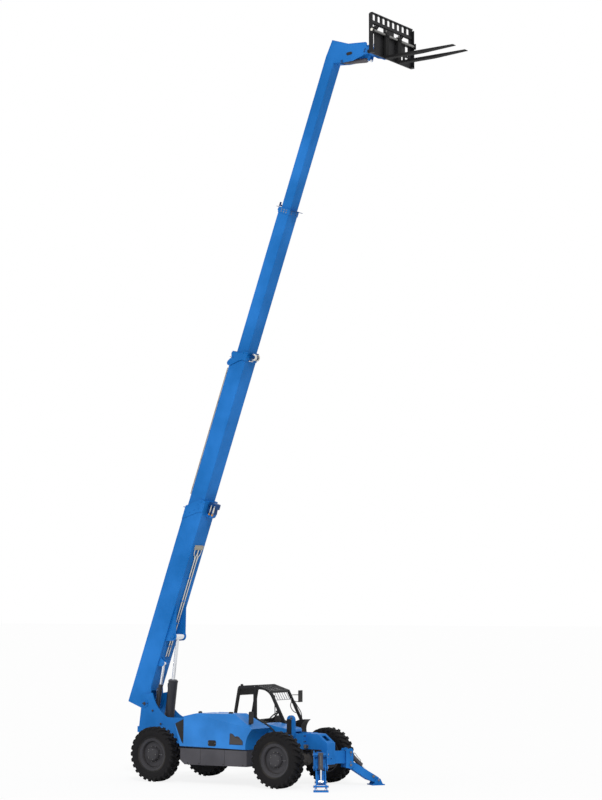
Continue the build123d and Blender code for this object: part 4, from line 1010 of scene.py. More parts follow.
def make_boom_fittings():
    """Weld beads, wear-pad screws, lock tabs, the length sensor, tubes, and the pivot's caps."""
    for name, first, mouth, low, high, half, free in SECTIONS:
        beads = [bead(boom((first, y, z)), boom((mouth - free, y, z)))
                 for y in (-half, half) for z in (low + 0.012, high - 0.012)]
        piece(name + "_welds", name, "blue", *beads)
    for name, _, mouth, low, high, half, _ in SECTIONS[1:3]:
        levels = np.linspace(low + 0.09, high - 0.09, 3)
        shapes = both_sides([(mouth - x, -(half + 0.010), z) for x in (0.045, 0.10) for z in levels], 0.011)
        for level, up in ((high + 0.010, BOOM_UP), (low - 0.010, -BOOM_UP)):
            spots = [(mouth - x, y, level) for x in (0.045, 0.10) for y in (-half * 0.55, half * 0.55)]
            shapes += bolts(boom(spots), up, 0.011)
        piece(name + "_pad_screws", name, "zinc" if name == "boom_third" else "blue", *shapes)
        tab = [(mouth - 0.125, high + 0.0105), (mouth - 0.02, high + 0.0105), (mouth - 0.035, high + 0.052),
               (mouth - 0.10, high + 0.052)]
        tabs = [prism(tab, boom, y - 0.008, y + 0.008) for y in (-half * 0.86, half * 0.86)]
        piece(name + "_lock_tabs", name, "blue", *tabs, bevel=0.003)
    spots = [(x, -(BASE_HALF + 0.012), z) for x, z in ((4.80, 0.50), (4.92, 0.40), (5.02, 0.28), (5.10, 0.16),
                                                       (5.17, 0.06), (4.90, 0.52), (5.19, 0.22))]
    piece("boom_base_pad_screws", "boom_base", "blue", *both_sides(spots, 0.012))
    stubs = [boom_rod((x, y, 0.5745), (x, y, 0.64), 0.022, 18, 0.006)
             for x in (4.79, 5.02) for y in (-0.13, 0.13)]
    piece("boom_base_stubs", "boom_base", "blue", *stubs)
    # length sensor drum on the left of the base, and its wire
    piece("length_sensor", "boom_base", "grey_plastic",
          boom_rod((3.2, 0.2455, 0.36), (3.2, 0.335, 0.36), 0.105, 40, 0.012),
          boom_rod((3.2, 0.335, 0.36), (3.2, 0.352, 0.36), 0.03, 20, 0.004))
    piece("sensor_wire", "boom_base", "zinc",
          boom_rod((3.2, 0.30, 0.463), (5.21, 0.30, 0.463), 0.003, 6),
          boom_rod((5.21, 0.2575, 0.45), (5.21, 0.31, 0.475), 0.014, 12, 0.003))
    # the thin tan tube along the second section's upper edge, with clips
    tan = pipe_on_boom([(x, -0.222, 0.5535) for x in (5.36, 6.2, 7.2, 8.66)], 0.010)
    piece("section_tube", "boom_second", "tan", tan)
    clips = [block((x, -0.231, 0.5425), (x + 0.03, -0.195, 0.5625), boom) for x in np.arange(5.5, 8.6, 0.75)]
    piece("section_tube_clips", "boom_second", "tan", *clips, bevel=0.003)
    make_base_lines()
    make_mouth_fittings()
    # pivot pin heads and their keeper screws
    dished = [(0, 0), (0.040, 0), (0.040, 0.006), (0.036, 0.010), (0.012, 0.010), (0.010, 0.006), (0, 0.006)]
    for side in (-1, 1):
        cap = turned(machine((BOOM_PIVOT[0], 0.344 * side, BOOM_PIVOT[1])), (0, side, 0), dished, 36)
        places = machine([(x, side * 0.3245, BOOM_PIVOT[1]) for x in (-2.865, -2.715)])
        heads = bolts(places, (0, side, 0), 0.010)
        piece("pivot_cap_" + SIDE_NAMES[side], "chassis", "barrel", cap, *heads)
    nipple = [(0, 0), (0.007, 0), (0.007, 0.008), (0.004, 0.012), (0.005, 0.018), (0, 0.02)]
    grease = [turned(boom((eye[0], y, eye[1])), (0, np.sign(y), 0), nipple, 8)
              for eye, y in ((LIFT_EYE, -0.232), (LIFT_EYE, 0.232), (LEVEL_EYE, -0.212))]
    piece("grease_nipples", "boom_base", "zinc", *grease)


def make_base_lines():
    """Two plated tubes under the base, each forked below the clamp that holds their four ends."""
    z = 0.0025
    sleeve = [(0, 0), (0.0205, 0.004), (0.0205, 0.07), (0.016, 0.09), (0, 0.09)]
    runs = []
    for y, ends in ((-0.03, (-0.12, 0.006)), (0.06, (0.024, 0.135))):
        runs.append(boom_rod((1.24, y, z), (3.80, y, z), 0.0175, 14, 0.003))
        runs.append(turned(boom((3.76, y, z)), BOOM_AHEAD, sleeve, 16))
        runs += [pipe_on_boom([(3.80, y, z), (3.88, y + (end - y) * 0.35, z), (3.98, end, z), (4.12, end, z)],
                              0.0125, 24) for end in ends]
    piece("base_tubes", "boom_base", "tube", *runs, stands_for=("boom_tubes",))
    clamp = [block((4.08, -0.15, -0.036), (4.19, 0.15, 0.0205), boom),
             block((4.10, -0.135, -0.042), (4.17, 0.135, -0.036), boom)]
    piece("base_tube_clamp", "boom_base", "clamp", *clamp, bevel=0.004)
    holders = [block((x, -0.065, -0.012), (x + 0.04, 0.095, 0.0205), boom) for x in (1.5, 2.1, 2.7, 3.3)]
    piece("base_tube_holders", "boom_base", "blue", *holders, bevel=0.003)


def make_mouth_fittings():
    """What stands round the mouths of the sections: anchors under the first, cheek plates and sheaves at the
    second, a flange and a bracket at the third."""
    make_anchors()
    make_second_mouth()
    low, high, half = SECTIONS[2][3:6]
    flange = [block((12.832, -half - 0.02, high + 0.011), (12.846, half + 0.002, high + 0.085), boom),
              block((12.832, -half - 0.02, low - 0.115), (12.846, half + 0.02, low - 0.011), boom)]
    piece("third_flange", "boom_third", "deep_blue", *flange, bevel=0.002)
    hook = [block((12.86, -0.16, 0.4505), (12.90, -0.10, 0.50), boom),
            block((12.86, -0.16, 0.485), (12.96, -0.10, 0.50), boom)]
    piece("third_bracket", "boom_third", "deep_blue", *hook, bevel=0.003)


def make_anchors():
    """Under the base's mouth: two bright rods in brass nuts beside a dark box, with bosses and ears above."""
    places = ((-0.098, -0.085), (-0.098, -0.182))
    piece("anchor_rods", "boom_base", "tube",
          *[boom_rod((5.07, y, z), (5.275, y, z), 0.018, 18, 0.004) for y, z in places])
    nut = [(0, 0), (0.026, 0), (0.026, 0.036), (0.020, 0.042), (0, 0.042)]
    piece("anchor_nuts", "boom_base", "brass",
          *[turned(boom((5.022, y, z)), BOOM_AHEAD, nut, 6) for y, z in places])
    shroud = [(5.055, 0.0205), (5.055, -0.172), (5.18, -0.158), (5.195, -0.205), (5.328, -0.205),
              (5.328, 0.0205)]
    plates = [prism(shroud, boom, -0.0745, 0.104)]
    plates += [block((x, -0.125, -0.21), (x + 0.012, -0.0745, 0.0), boom) for x in (5.09, 5.25)]
    piece("anchor_box", "boom_base", "deep_blue", *plates, bevel=0.003)
    boss = [(0, 0), (0.034, 0), (0.034, 0.008), (0.028, 0.012), (0.014, 0.012), (0.012, 0.018), (0, 0.018)]
    bosses = [turned(boom((5.285, side * 0.257, z)), (0, side, 0), boss, 24)
              for side in (-1, 1) for z in (0.155, 0.062)]
    piece("mouth_bosses", "boom_base", "blue", *bosses)
    ears = [block((4.985, side * 0.2575, 0.575), (4.997, side * 0.15, 0.635), boom) for side in (-1, 1)]
    piece("mouth_ears", "boom_base", "blue", *ears, bevel=0.002)


def make_second_mouth():
    """At the second section's mouth: cheek plates, lobed above and clear of the base when drawn in, and two
    rope sheaves on an axle between hangers."""
    lobe = [(8.725, 0.520), *arc((8.785, 0.555), 0.062, 200, 60), (8.90, 0.560), (8.935, 0.50), (8.948, 0.453),
            (9.102, 0.453), (9.102, 0.35), (9.13, 0.28), (9.185, 0.17), (9.195, 0.082), (8.966, 0.082),
            (8.966, 0.20), (8.90, 0.308), (8.81, 0.415)]
    cheeks = [prism(lobe, boom, *sorted((side * 0.2155, side * 0.2375))) for side in (-1, 1)]
    piece("second_cheeks", "boom_second", "blue", *cheeks, bevel=0.003)
    studs = [button(boom((x, side * 0.2375, z)), (0, side, 0), 0.022, 0.008, 0.017, 0.011, 20)
             for side in (-1, 1) for x, z in ((9.155, 0.215), (9.155, 0.125), (8.79, 0.555))]
    piece("second_cheek_bosses", "boom_second", "blue", *studs)
    x, z = 9.105, -0.012
    centres = [boom((x, y, z)) for y in (-0.06, 0.06)]
    wheel = [(0.0, -0.020), (0.074, -0.020), (0.086, -0.017), (0.078, -0.005), (0.078, 0.005), (0.086, 0.017),
             (0.074, 0.020), (0, 0.020)]
    hub = [(0, -0.024), (0.048, -0.024), (0.048, 0.024), (0, 0.024)]
    piece("second_sheaves", "boom_second", "tube", *[turned(c, (0, 1, 0), wheel, 36) for c in centres])
    piece("second_sheave_hubs", "boom_second", "deep_blue", *[turned(c, (0, 1, 0), hub, 28) for c in centres],
          bevel=0.002)
    plate = [(9.05, 0.078), (9.17, 0.078), (9.14, -0.025), (9.105, -0.042), (9.07, -0.025)]
    hangers = [prism(plate, boom, y - 0.005, y + 0.005) for y in (-0.098, -0.022, 0.022, 0.098)]
    hangers.append(boom_rod((x, -0.125, z), (x, 0.125, z), 0.012, 16, 0.002))
    hangers.append(block((8.92, -0.15, 0.5535), (8.934, -0.06, 0.64), boom))
    piece("second_sheave_hangers", "boom_second", "deep_blue", *hangers, bevel=0.001)
    piece("second_rope_bar", "boom_second", "tube",
          boom_rod((8.985, -0.14, 0.055), (8.985, 0.03, 0.055), 0.014, 16, 0.003))


# --- cylinders ------------------------------------------------------------------------------------
def along_ram(foot, eye, place):
    """A function that turns (along the ram, across, above its axis) into frame coordinates."""
    foot, eye = np.asarray(foot, float), np.asarray(eye, float)
    ahead = unit(eye - foot)
    above = unit(np.cross(ahead, (0, -1.0, 0)))
    above = above if above[0] < 0 else -above
    side = np.array((0, 1.0, 0))

    def into(p):
        p = np.asarray(p, float)
        return place(foot + p[..., :1] * ahead + p[..., 1:2] * side + p[..., 2:3] * above)
    return into


def head_point(along, above):
    """Machine coordinates (ahead, up) of a point of the boom's side view."""
    p = boom((along, 0.0, above))
    return float(p[0] - DATUM_X), float(p[2])


HEAD = head_point(*HEAD_PIVOT)


def ram_fittings(name, body, foot, eye, radius, length, y=0.0, plain=False):
    """On a cylinder's barrel: gland nut, ports, the rigid line between them and its clips; on a plain one
    only the sleeve that hides its joint with the rod."""
    into = along_ram((foot[0], y, foot[1]), (eye[0], y, eye[1]), machine)
    axis = unit(into((1, 0, 0)) - into((0, 0, 0)))
    above = unit(into((0, 0, 1)) - into((0, 0, 0)))
    r = radius
    if plain:
        reach = float(np.linalg.norm(np.subtract(eye, foot))) - 0.075
        sleeve = [(r + 0.0005, 0), (r + 0.006, 0.01), (r + 0.006, reach - 0.15), (r - 0.006, reach - 0.12),
                  (r * 0.62, reach - 0.12), (r * 0.62, length - 0.115), (r + 0.0005, length - 0.115)]
        piece(name + "_sleeve", body, "tilt_grey", turned(into((0.12, 0, 0)), axis, sleeve, 36))
        return
    gland = [(r * 0.46, 0), (r * 0.86, 0), (r * 0.86, r * 0.16), (r * 0.74, r * 0.22), (r * 0.46, r * 0.22)]
    piece(name + "_gland", body, "pin", turned(into((length + 0.0005, 0, 0)), axis, gland, 36))
    band = [(r - 0.002, 0), (r + 0.004, 0.004), (r + 0.004, 0.010), (r - 0.002, 0.014)]
    band = turned(into((length - 0.042, 0, 0)), axis, band, 36)
    ports = [into((x, 0, r - 0.004)) for x in (0.14, length - 0.11)]
    blocks = [swept(np.stack([p, p + above * 0.042]), 0.019, 8, squareness=0.5) for p in ports]
    route = ((0.14, 0.034), (0.19, 0.038), (0.30, 0.020), (length * 0.55, 0.018), (length - 0.25, 0.020),
             (length - 0.16, 0.038), (length - 0.11, 0.034))
    line = swept(smooth_path([into((x, 0, r + lift)) for x, lift in route], 60), 0.008)
    clips = [swept(np.stack([into((x, -0.02, r + 0.010)), into((x, 0.02, r + 0.010))]), 0.012, 8,
                   squareness=0.6) for x in (length * 0.35, length * 0.7)]
    piece(name + "_ports", body, "charcoal", band, *blocks, bevel=0.002)
    piece(name + "_line", body, "zinc", line)
    piece(name + "_line_clips", body, "plastic", *clips)


def make_cylinder_fittings():
    """Gland nuts, ports and rigid lines of the boom's three cylinders and the stabilisers' two."""
    ram_fittings("lift", "lift_barrel", LIFT_FOOT, head_point(*LIFT_EYE), 0.117, 1.075)
    ram_fittings("level", "level_barrel", LEVEL_FOOT, head_point(*LEVEL_EYE), 0.054, 0.65, -0.15)
    ram_fittings("tilt", "tilt_barrel", head_point(*TILT_FOOT), (HEAD[0] - 0.035, HEAD[1] - 0.195), 0.050, 0.56,
                 plain=True)
    low, high = np.array((0.0, 0.0, 0.80)), np.array((0.60, 0.0, 0.215))
    ahead = unit(high - low)
    above = np.array((-ahead[2], 0, ahead[0]))
    gland = [(0.0262, 0), (0.050, 0), (0.050, 0.007), (0.044, 0.012), (0.0262, 0.012)]
    collar = [(0.053, 0), (0.060, 0.003), (0.060, 0.037), (0.053, 0.040)]
    route = ((0.12, 0.052), (0.125, 0.085), (0.17, 0.095), (0.28, 0.078), (0.37, 0.078), (0.40, 0.052))
    for side, word in SIDE_NAMES.items():
        def point(along, out):
            return leg(side, low + along * ahead + out * above)

        axis = unit(point(1.0, 0.0) - point(0.0, 0.0))
        body = "stabiliser_barrel_" + word
        piece("stabiliser_gland_" + word, body, "pin", turned(point(0.4655, 0.0), axis, gland, 30))
        piece("stabiliser_collar_" + word, body, "charcoal", turned(point(0.425, 0.0), axis, collar, 30))
        line = swept(smooth_path([point(*place) for place in route], 30), 0.007, 8)
        piece("stabiliser_line_" + word, body, "zinc", line)


# --- frame ----------------------------------------------------------------------------------------
NOSE_X, TAIL_X = FRONT_AXLE_X + 0.2055, -2.9805
AXLE_Z = 0.665


def make_stabiliser_fittings():
    """Pin heads and screws of the stabilisers' roots, feet and legs, and the ribs on the feet."""
    for side, word in SIDE_NAMES.items():
        across = unit(leg(side, (0, 1.0, 0)) - leg(side, (0, 0.0, 0)))
        heads = [button(leg(side, (0, turn * 0.1775, z)), across * turn, r, 0.008, r * 0.85, 0.012, 28)
                 for z, r in ((0.50, 0.030), (0.80, 0.028)) for turn in (-1, 1)]
        for z in (0.57, 0.73):
            for turn in (1, -1):
                heads += bolts([leg(side, (0.0, turn * 0.1655, z))], across * turn, 0.012)
        piece("stabiliser_pins_" + word, "chassis", "pin", *heads)
        down = [button(leg(side, (0.72, turn * 0.1705, 0.121)), across * turn, 0.026, 0.006, 0.02, 0.010)
                for turn in (-1, 1)]
        piece("foot_pins_" + word, "stabiliser_leg_" + word, "pin", *down)

        def place(p):
            return leg(side, p)

        rib = [(0.585, 0.0252), (0.855, 0.0252), (0.80, 0.055), (0.64, 0.055)]
        ribs = [prism(rib, place, y - 0.006, y + 0.006) for y in (-0.09, 0.09)]
        piece("foot_ribs_" + word, "stabiliser_foot_" + word, "blue", *ribs, bevel=0.002)
        eyes = [rod(leg(side, (0.60, turn * 0.122, 0.215)), leg(side, (0.60, turn * 0.145, 0.215)),
                    0.034, 24, 0.004)
                for turn in (-1, 1)]
        piece("leg_pins_" + word, "stabiliser_leg_" + word, "pin", *eyes)


def make_frame_fittings():
    """The stabilisers' pins, nose bolts, valve block, front cover, tower ring, rear lamps, hitch and axles."""
    make_stabiliser_fittings()
    spots = [(NOSE_X, y, z) for y in (-0.275, 0.275, -0.215, 0.215) for z in (0.93, 1.06, 1.19)]
    piece("nose_bolts", "chassis", "barrel", *bolts(machine(spots), (1, 0, 0), 0.013))
    # valve block on the right of the frame's nose
    face = FRONT_AXLE_X + 0.27
    piece("nose_valve", "chassis", "grey_plastic",
          block((NOSE_X, -0.30, 0.90), (face, -0.20, 0.99)), bevel=0.006)
    ports = [rod(machine((face, y, z)), machine((FRONT_AXLE_X + 0.30, y, z)), 0.012, 6, 0.003)
             for y in (-0.28, -0.25, -0.22) for z in (0.925, 0.965)]
    piece("nose_valve_ports", "chassis", "zinc", *ports)
    # sloped cover over the frame between the hood and the tower, with two lines, and a thin black sheet that
    # darkens the tower's side face
    cover = [(0.80, 1.2515), (1.555, 1.2515), (1.555, 1.30), (1.53, 1.345), (0.90, 1.46), (0.80, 1.455)]
    piece("front_cover", "chassis", "hood_blue", prism(cover, side_view, -0.309, 0.309), bevel=0.012)
    run = ((0.72, 1.49), (0.80, 1.508), (0.95, 1.45), (1.10, 1.35), (1.18, 1.29), (1.21, 1.2))
    runs = [pipe([(x, y, z) for x, z in run], 0.011, 40) for y in (-0.326, -0.355)]
    piece("front_cover_lines", "chassis", "hose", *runs)
    piece("tower_plate", "chassis", "black", block((1.565, -0.356, 1.22), (1.70, -0.3505, 1.58)), bevel=0.002)
    tower = machine((FRONT_AXLE_X - 0.115, 0.0, 1.605))
    ring = [(0.0225, 0), (0.036, 0), (0.036, 0.006), (0.0225, 0.008)]
    piece("tower_ring", "chassis", "pin", turned(tower + (0, -0.3505, 0), TO_RIGHT, ring, 28))
    lamps = [block((-2.9955, y, 0.98), (-2.981, y + 0.11, 1.06)) for y in (-0.285, 0.175)]
    piece("rear_lamps", "chassis", "red", *lamps, bevel=0.005)
    hitch = [block((-3.06, -0.05, z), (TAIL_X, 0.05, z + 0.02)) for z in (0.68, 0.78)]
    hitch.append(rod(machine((-3.03, 0, 0.66)), machine((-3.03, 0, 0.84)), 0.016, 16, 0.003))
    piece("tow_hitch", "chassis", "iron", *hitch, bevel=0.002)
    spots = [(TAIL_X, y, z) for y in (-0.25, 0.25) for z in (0.70, 0.85, 1.08)]
    piece("rear_bolts", "chassis", "zinc", *bolts(machine(spots), (-1, 0, 0), 0.012))
    caps = [button(machine((foot[0], side * 0.3265, foot[1])), (0, side, 0), 0.026, 0.006, 0.02, 0.010, 26)
            for foot, side in ((LIFT_FOOT, -1), (LIFT_FOOT, 1), (LEVEL_FOOT, -1))]
    piece("cylinder_pin_caps", "chassis", "barrel", *caps)
    make_axle_fittings()


def make_axle_fittings():
    """On each axle: the steering cylinder with its track rod, and the differential's bolted cover."""
    dome = [(0, -0.03), (0.14, -0.03), (0.135, 0.0), (0.10, 0.022), (0.04, 0.034), (0, 0.036)]
    for end, x0 in (("rear", -1.85), ("front", FRONT_AXLE_X)):
        x = x0 - 0.14
        shapes = [rod(machine((x, -half, 0.62)), machine((x, half, 0.62)), r, sides, chamfer)
                  for half, r, sides, chamfer in ((0.70, 0.022, 18, 0.004), (0.24, 0.042, 26, 0.006))]
        shapes += [block((x0 - 0.16, y - 0.02, 0.60), (x0 - 0.07, y + 0.02, 0.66)) for y in (-0.20, 0.20)]
        piece(end + "_steering_ram", "chassis", "iron", *shapes, bevel=0.002)
        cover = turned(machine((x0 + 0.186, 0, AXLE_Z)), (1, 0, 0), dome, 36)
        piece(end + "_axle_cover", "chassis", "iron", cover)
        ring = [(x0 + 0.178, 0.122 * math.cos(t), AXLE_Z + 0.122 * math.sin(t))
                for t in np.linspace(0, TURN, 12, endpoint=False)]
        piece(end + "_cover_bolts", "chassis", "zinc", *bolts(machine(ring), (1, 0, 0), 0.008))


# --- head and attachment --------------------------------------------------------------------------
def make_head_fittings():
    """On the boom's head and the attachment: pin caps, weld beads, dark patches painted as shade in the slots,
    coupler bolts, shaft sleeves, carriage braces and fork locks."""
    edge = [(16.60, 0.40), (17.08, 0.36), (17.088, -0.12), (17.222, -0.60)]
    for side in (-1, 1):
        out = (0, side, 0)
        cap = button(boom((HEAD_PIVOT[0], side * 0.1655, HEAD_PIVOT[1])), out, 0.028, 0.006, 0.022, 0.009, 30)
        foot = button(boom((TILT_FOOT[0], side * 0.1585, TILT_FOOT[1])), out, 0.030, 0.008, 0.024, 0.012, 26)
        keeper = [(16.99, -0.66), (17.09, -0.66), (17.09, -0.63), (16.99, -0.63)]
        keeper = prism(keeper, boom, *sorted((side * 0.1505, side * 0.158)))
        heads = bolts(boom([(x, side * 0.158, -0.645) for x in (17.01, 17.07)]), out, 0.009)
        piece("head_pin_" + SIDE_NAMES[side], "boom_fly", "deep_blue", cap, foot, keeper, *heads, bevel=0.001)
        corners = [boom((x, side * 0.1505, z)) for x, z in edge]
        beads = [bead(a, b) for a, b in zip(corners[:-1], corners[1:])]
        piece("head_welds_" + SIDE_NAMES[side], "boom_fly", "blue", *beads)
    # dark patches in the shape of the head's two slots: painted shade of the openings
    slot = [(16.815, -0.195), (16.838, -0.150), (16.875, -0.150), (16.892, -0.178), (16.932, -0.268),
            (16.912, -0.312), (16.876, -0.312), (16.858, -0.285)]
    slot_shades = [prism(slot, boom, *sorted((side * 0.1503, side * 0.1545))) for side in (-1, 1)]
    piece("head_slot_shades", "boom_fly", "trim", *slot_shades, bevel=0.002)
    x, z = HEAD[0] + 0.155, HEAD[1] - 0.085
    dished = [(0, 0), (0.05, 0), (0.05, 0.004), (0.042, 0.008), (0.018, 0.008), (0.015, 0.003), (0, 0.003)]
    caps = [turned(machine((x, side * 0.3505, z)), (0, side, 0), dished, 30) for side in (-1, 1)]
    piece("cross_tube_caps", "attachment", "trim", *caps)
    make_carriage_fittings()


def make_carriage_fittings():
    """Bolts of the coupler's back plate, the fork shaft's ends and sleeves, braces, and the forks' locks."""
    x0 = float(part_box("carriage")[0].x) - DATUM_X
    bottom = float(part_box("fork_left")[0].z)
    spots = [(x0 - 0.0205, y, bottom + z) for y in (-0.30, -0.24, 0.24, 0.30) for z in (0.10, 0.30, 0.50)]
    piece("coupler_bolts", "attachment", "zinc", *bolts(machine(spots), (-1, 0, 0), 0.013))
    x, z = x0 + 0.095, bottom + 0.57
    ends = [button(machine((x, side * 0.9625, z)), (0, side, 0), 0.036, 0.008, 0.030, 0.012, 30)
            for side in (-1, 1)]
    piece("shaft_ends", "attachment", "tube", *ends)
    sleeves = [rod(machine((x, a, z)), machine((x, b, z)), 0.0312, 24, 0.002)
               for a, b in ((-0.948, -0.40), (-0.25, 0.175), (0.325, 0.948))]
    piece("shaft_sleeves", "attachment", "zinc", *sleeves)
    back = x0 + 0.0395 + 0.008
    braces = []
    for y0, z0, y1, z1 in ((-0.66, 0.61, -0.83, 0.75), (-0.55, 0.76, -0.70, 0.60), (0.30, 0.60, 0.45, 0.75),
                           (0.39, 0.59, 0.54, 0.75)):
        a, b = machine((back, y0, bottom + z0)), machine((back, y1, bottom + z1))
        braces.append(swept(np.stack([a, (a + b) / 2, b]), 0.010, 4, squareness=0.4))
    piece("carriage_braces", "attachment", "black", *braces)
    knob = [(0, 0), (0.022, 0.003), (0.024, 0.012), (0.016, 0.022), (0, 0.024)]
    locks = []
    for node in ("fork_left", "fork_right"):
        y, foot = float(middle(node).y), z + 0.0705
        top = machine((x0 + 0.09, y, foot + 0.03))
        locks += [rod(machine((x0 + 0.09, y, foot)), top, 0.014, 16, 0.003), turned(top, UP, knob, 18)]
    piece("fork_locks", "attachment", "zinc", *locks)


# --- studio ---------------------------------------------------------------------------------------
FLOOR_REACH = 400.0
FLOOR_DROP = 0.001
FLOOR_GLOW = 0.85
LAMP_AIM = Vector((0.0, 0.0, 6.0))
CAMERA_PLACE = (30.428, -41.811, 4.213)
CAMERA_TURN = math.radians(34.462)
CAMERA_RISE = math.radians(5.675)
CAMERA_LENS = 94.30


def reckoned(tree, operation, first, second):
    """A maths node's output for two inputs, each another node's output or a plain number."""
    made = tree.nodes.new("ShaderNodeMath")
    made.operation = operation
    for slot, given in zip(made.inputs, (first, second)):
        if isinstance(given, float):
            slot.default_value = given
        else:
            tree.links.new(given, slot)
    return made.outputs[0]


def make_stage():
    """A pale floor, a white surround, soft lamps and the camera."""
    scene = bpy.context.scene
    scene.view_settings.view_transform = "Standard"
    look = scene.handler_looks
    world = bpy.data.worlds.new("studio")
    scene.world = world
    world.use_nodes = True
    tree = world.node_tree
    back = tree.nodes["Background"]
    back.inputs["Color"].default_value = (1.0, 1.0, 1.0, 1.0)
    path = tree.nodes.new("ShaderNodeLightPath").outputs
    seen = reckoned(tree, "MAXIMUM", path["Is Camera Ray"], path["Is Transmission Ray"])
    seen = reckoned(tree, "MAXIMUM", seen, path["Is Glossy Ray"])
    level = tree.nodes.new("ShaderNodeMapRange")
    level.inputs["To Min"].default_value = look.surround
    level.inputs["To Max"].default_value = 1.0
    tree.links.new(seen, level.inputs["Value"])
    tree.links.new(level.outputs["Result"], back.inputs["Strength"])

    floor_mesh = bpy.data.meshes.new("floor")
    corners = [(x * FLOOR_REACH, y * FLOOR_REACH, -FLOOR_DROP)
               for x, y in ((-1, -1), (1, -1), (1, 1), (-1, 1))]
    floor_mesh.from_pydata(corners, [], [(0, 1, 2, 3)])
    floor = bpy.data.objects.new("floor", floor_mesh)
    scene.collection.objects.link(floor)
    pale = bpy.data.materials.new("floor")
    pale.use_nodes = True
    tree = pale.node_tree
    shader = tree.nodes["Principled BSDF"]
    shader.inputs["Base Color"].default_value = (0.95, 0.95, 0.95, 1.0)
    shader.inputs["Roughness"].default_value = 0.9
    shader.inputs["Specular IOR Level"].default_value = 0.0
    white = tree.nodes.new("ShaderNodeEmission")
    path = tree.nodes.new("ShaderNodeLightPath").outputs
    share = reckoned(tree, "MULTIPLY", path["Is Camera Ray"], FLOOR_GLOW)
    mix = tree.nodes.new("ShaderNodeMixShader")
    tree.links.new(share, mix.inputs[0])
    tree.links.new(shader.outputs[0], mix.inputs[1])
    tree.links.new(white.outputs[0], mix.inputs[2])
    tree.links.new(mix.outputs[0], tree.nodes["Material Output"].inputs["Surface"])
    floor_mesh.materials.append(pale)

    for name, place, strength, angle in (
        ("key", (22.0, -26.0, 34.0), look.key, 14.0), ("fill", (-28.0, -24.0, 16.0), look.fill, 40.0),
    ):
        lamp = bpy.data.lights.new(name, "SUN")
        lamp.energy = strength
        lamp.angle = math.radians(angle)
        made = bpy.data.objects.new(name, lamp)
        made.location = place
        made.rotation_euler = (LAMP_AIM - Vector(place)).to_track_quat("-Z", "Y").to_euler()
        scene.collection.objects.link(made)

    level_part = math.cos(CAMERA_RISE)
    look_at = Vector((-math.sin(CAMERA_TURN) * level_part, math.cos(CAMERA_TURN) * level_part,
                      math.sin(CAMERA_RISE)))
    lens = bpy.data.cameras.new("camera")
    lens.lens = CAMERA_LENS
    lens.sensor_width = 36.0
    lens.clip_start = 1.0
    lens.clip_end = 1500.0
    camera = bpy.data.objects.new("camera", lens)
    camera.location = machine(CAMERA_PLACE)
    camera.rotation_euler = look_at.to_track_quat("-Z", "Y").to_euler()
    scene.collection.objects.link(camera)
    scene.camera = camera


# --- add-on ---------------------------------------------------------------------------------------
def shade(red, green, blue):
    """A property's default colour from chart numbers."""
    return colour(red, green, blue)[:3]


class HandlerLooks(bpy.types.PropertyGroup):
    """Sizes and colours that a user would change."""

    blue: bpy.props.FloatVectorProperty(
        name="Boom blue", description="Paint of the boom, frame and stabilisers", subtype="COLOR", min=0, max=1,
        default=shade(14, 108, 186))
    hood_blue: bpy.props.FloatVectorProperty(
        name="Hood blue", description="Paint of the hood and the cover ahead of it",
        subtype="COLOR", min=0, max=1, default=shade(20, 118, 198))
    charcoal: bpy.props.FloatVectorProperty(
        name="Charcoal", description="Paint of the tank and the stabilisers' cylinders",
        subtype="COLOR", min=0, max=1, default=shade(60, 60, 68))
    black: bpy.props.FloatVectorProperty(
        name="Black", description="Paint of the carriage and the cab", subtype="COLOR", min=0, max=1,
        default=shade(22, 22, 25))
    bars_a_side: bpy.props.IntProperty(
        name="Tread bars", description="Tread bars on each side of a tyre", min=8, max=40, default=26)
    bar_height: bpy.props.FloatProperty(
        name="Bar height", description="How far a tread bar stands out", unit="LENGTH", min=0.01, max=0.06,
        default=0.038)
    seat_fill: bpy.props.FloatProperty(
        name="Seat fill", description="How full the seat's pads are", subtype="FACTOR", min=0, max=1,
        default=0.7)
    surround: bpy.props.FloatProperty(
        name="Surround light", description="Strength of the light from all sides", min=0, max=2, default=0.55)
    key: bpy.props.FloatProperty(
        name="Key light", description="Strength of the main lamp", min=0, max=10, default=1.7)
    fill: bpy.props.FloatProperty(
        name="Fill light", description="Strength of the second lamp", min=0, max=10, default=0.5)


class HANDLER_OT_stage(bpy.types.Operator):
    """Make the floor, surround, lamps and camera"""

    bl_idname = "handler.stage"
    bl_label = "Studio"

    def execute(self, context):
        make_stage()
        return {"FINISHED"}


class HANDLER_OT_nodes(bpy.types.Operator):
    """Give the construction's own parts their finishes"""

    bl_idname = "handler.nodes"
    bl_label = "Finishes of the frame"

    def execute(self, context):
        dress_nodes()
        return {"FINISHED"}


class HANDLER_OT_tyres(bpy.types.Operator):
    """Make the four tyres"""

    bl_idname = "handler.tyres"
    bl_label = "Tyres"

    def execute(self, context):
        make_tyres()
        return {"FINISHED"}


class HANDLER_OT_wheel_fittings(bpy.types.Operator):
    """Make the wheels' studs, cap bolts, bead rings, painted-shade gutter rings and valves"""

    bl_idname = "handler.wheel_fittings"
    bl_label = "Wheel fittings"

    def execute(self, context):
        make_wheel_fittings()
        return {"FINISHED"}


class HANDLER_OT_seat(bpy.types.Operator):
    """Make the operator's padded seat"""

    bl_idname = "handler.seat"
    bl_label = "Seat"

    def execute(self, context):
        make_seat()
        return {"FINISHED"}


class HANDLER_OT_openings(bpy.types.Operator):
    """Make the edging of the cab's openings and its roof guard"""

    bl_idname = "handler.openings"
    bl_label = "Cab openings"

    def execute(self, context):
        make_openings()
        return {"FINISHED"}


class HANDLER_OT_cab_fittings(bpy.types.Operator):
    """Make the cab's rails, lamp, lower door and inner fittings"""

    bl_idname = "handler.cab_fittings"
    bl_label = "Cab fittings"

    def execute(self, context):
        make_cab_fittings()
        return {"FINISHED"}


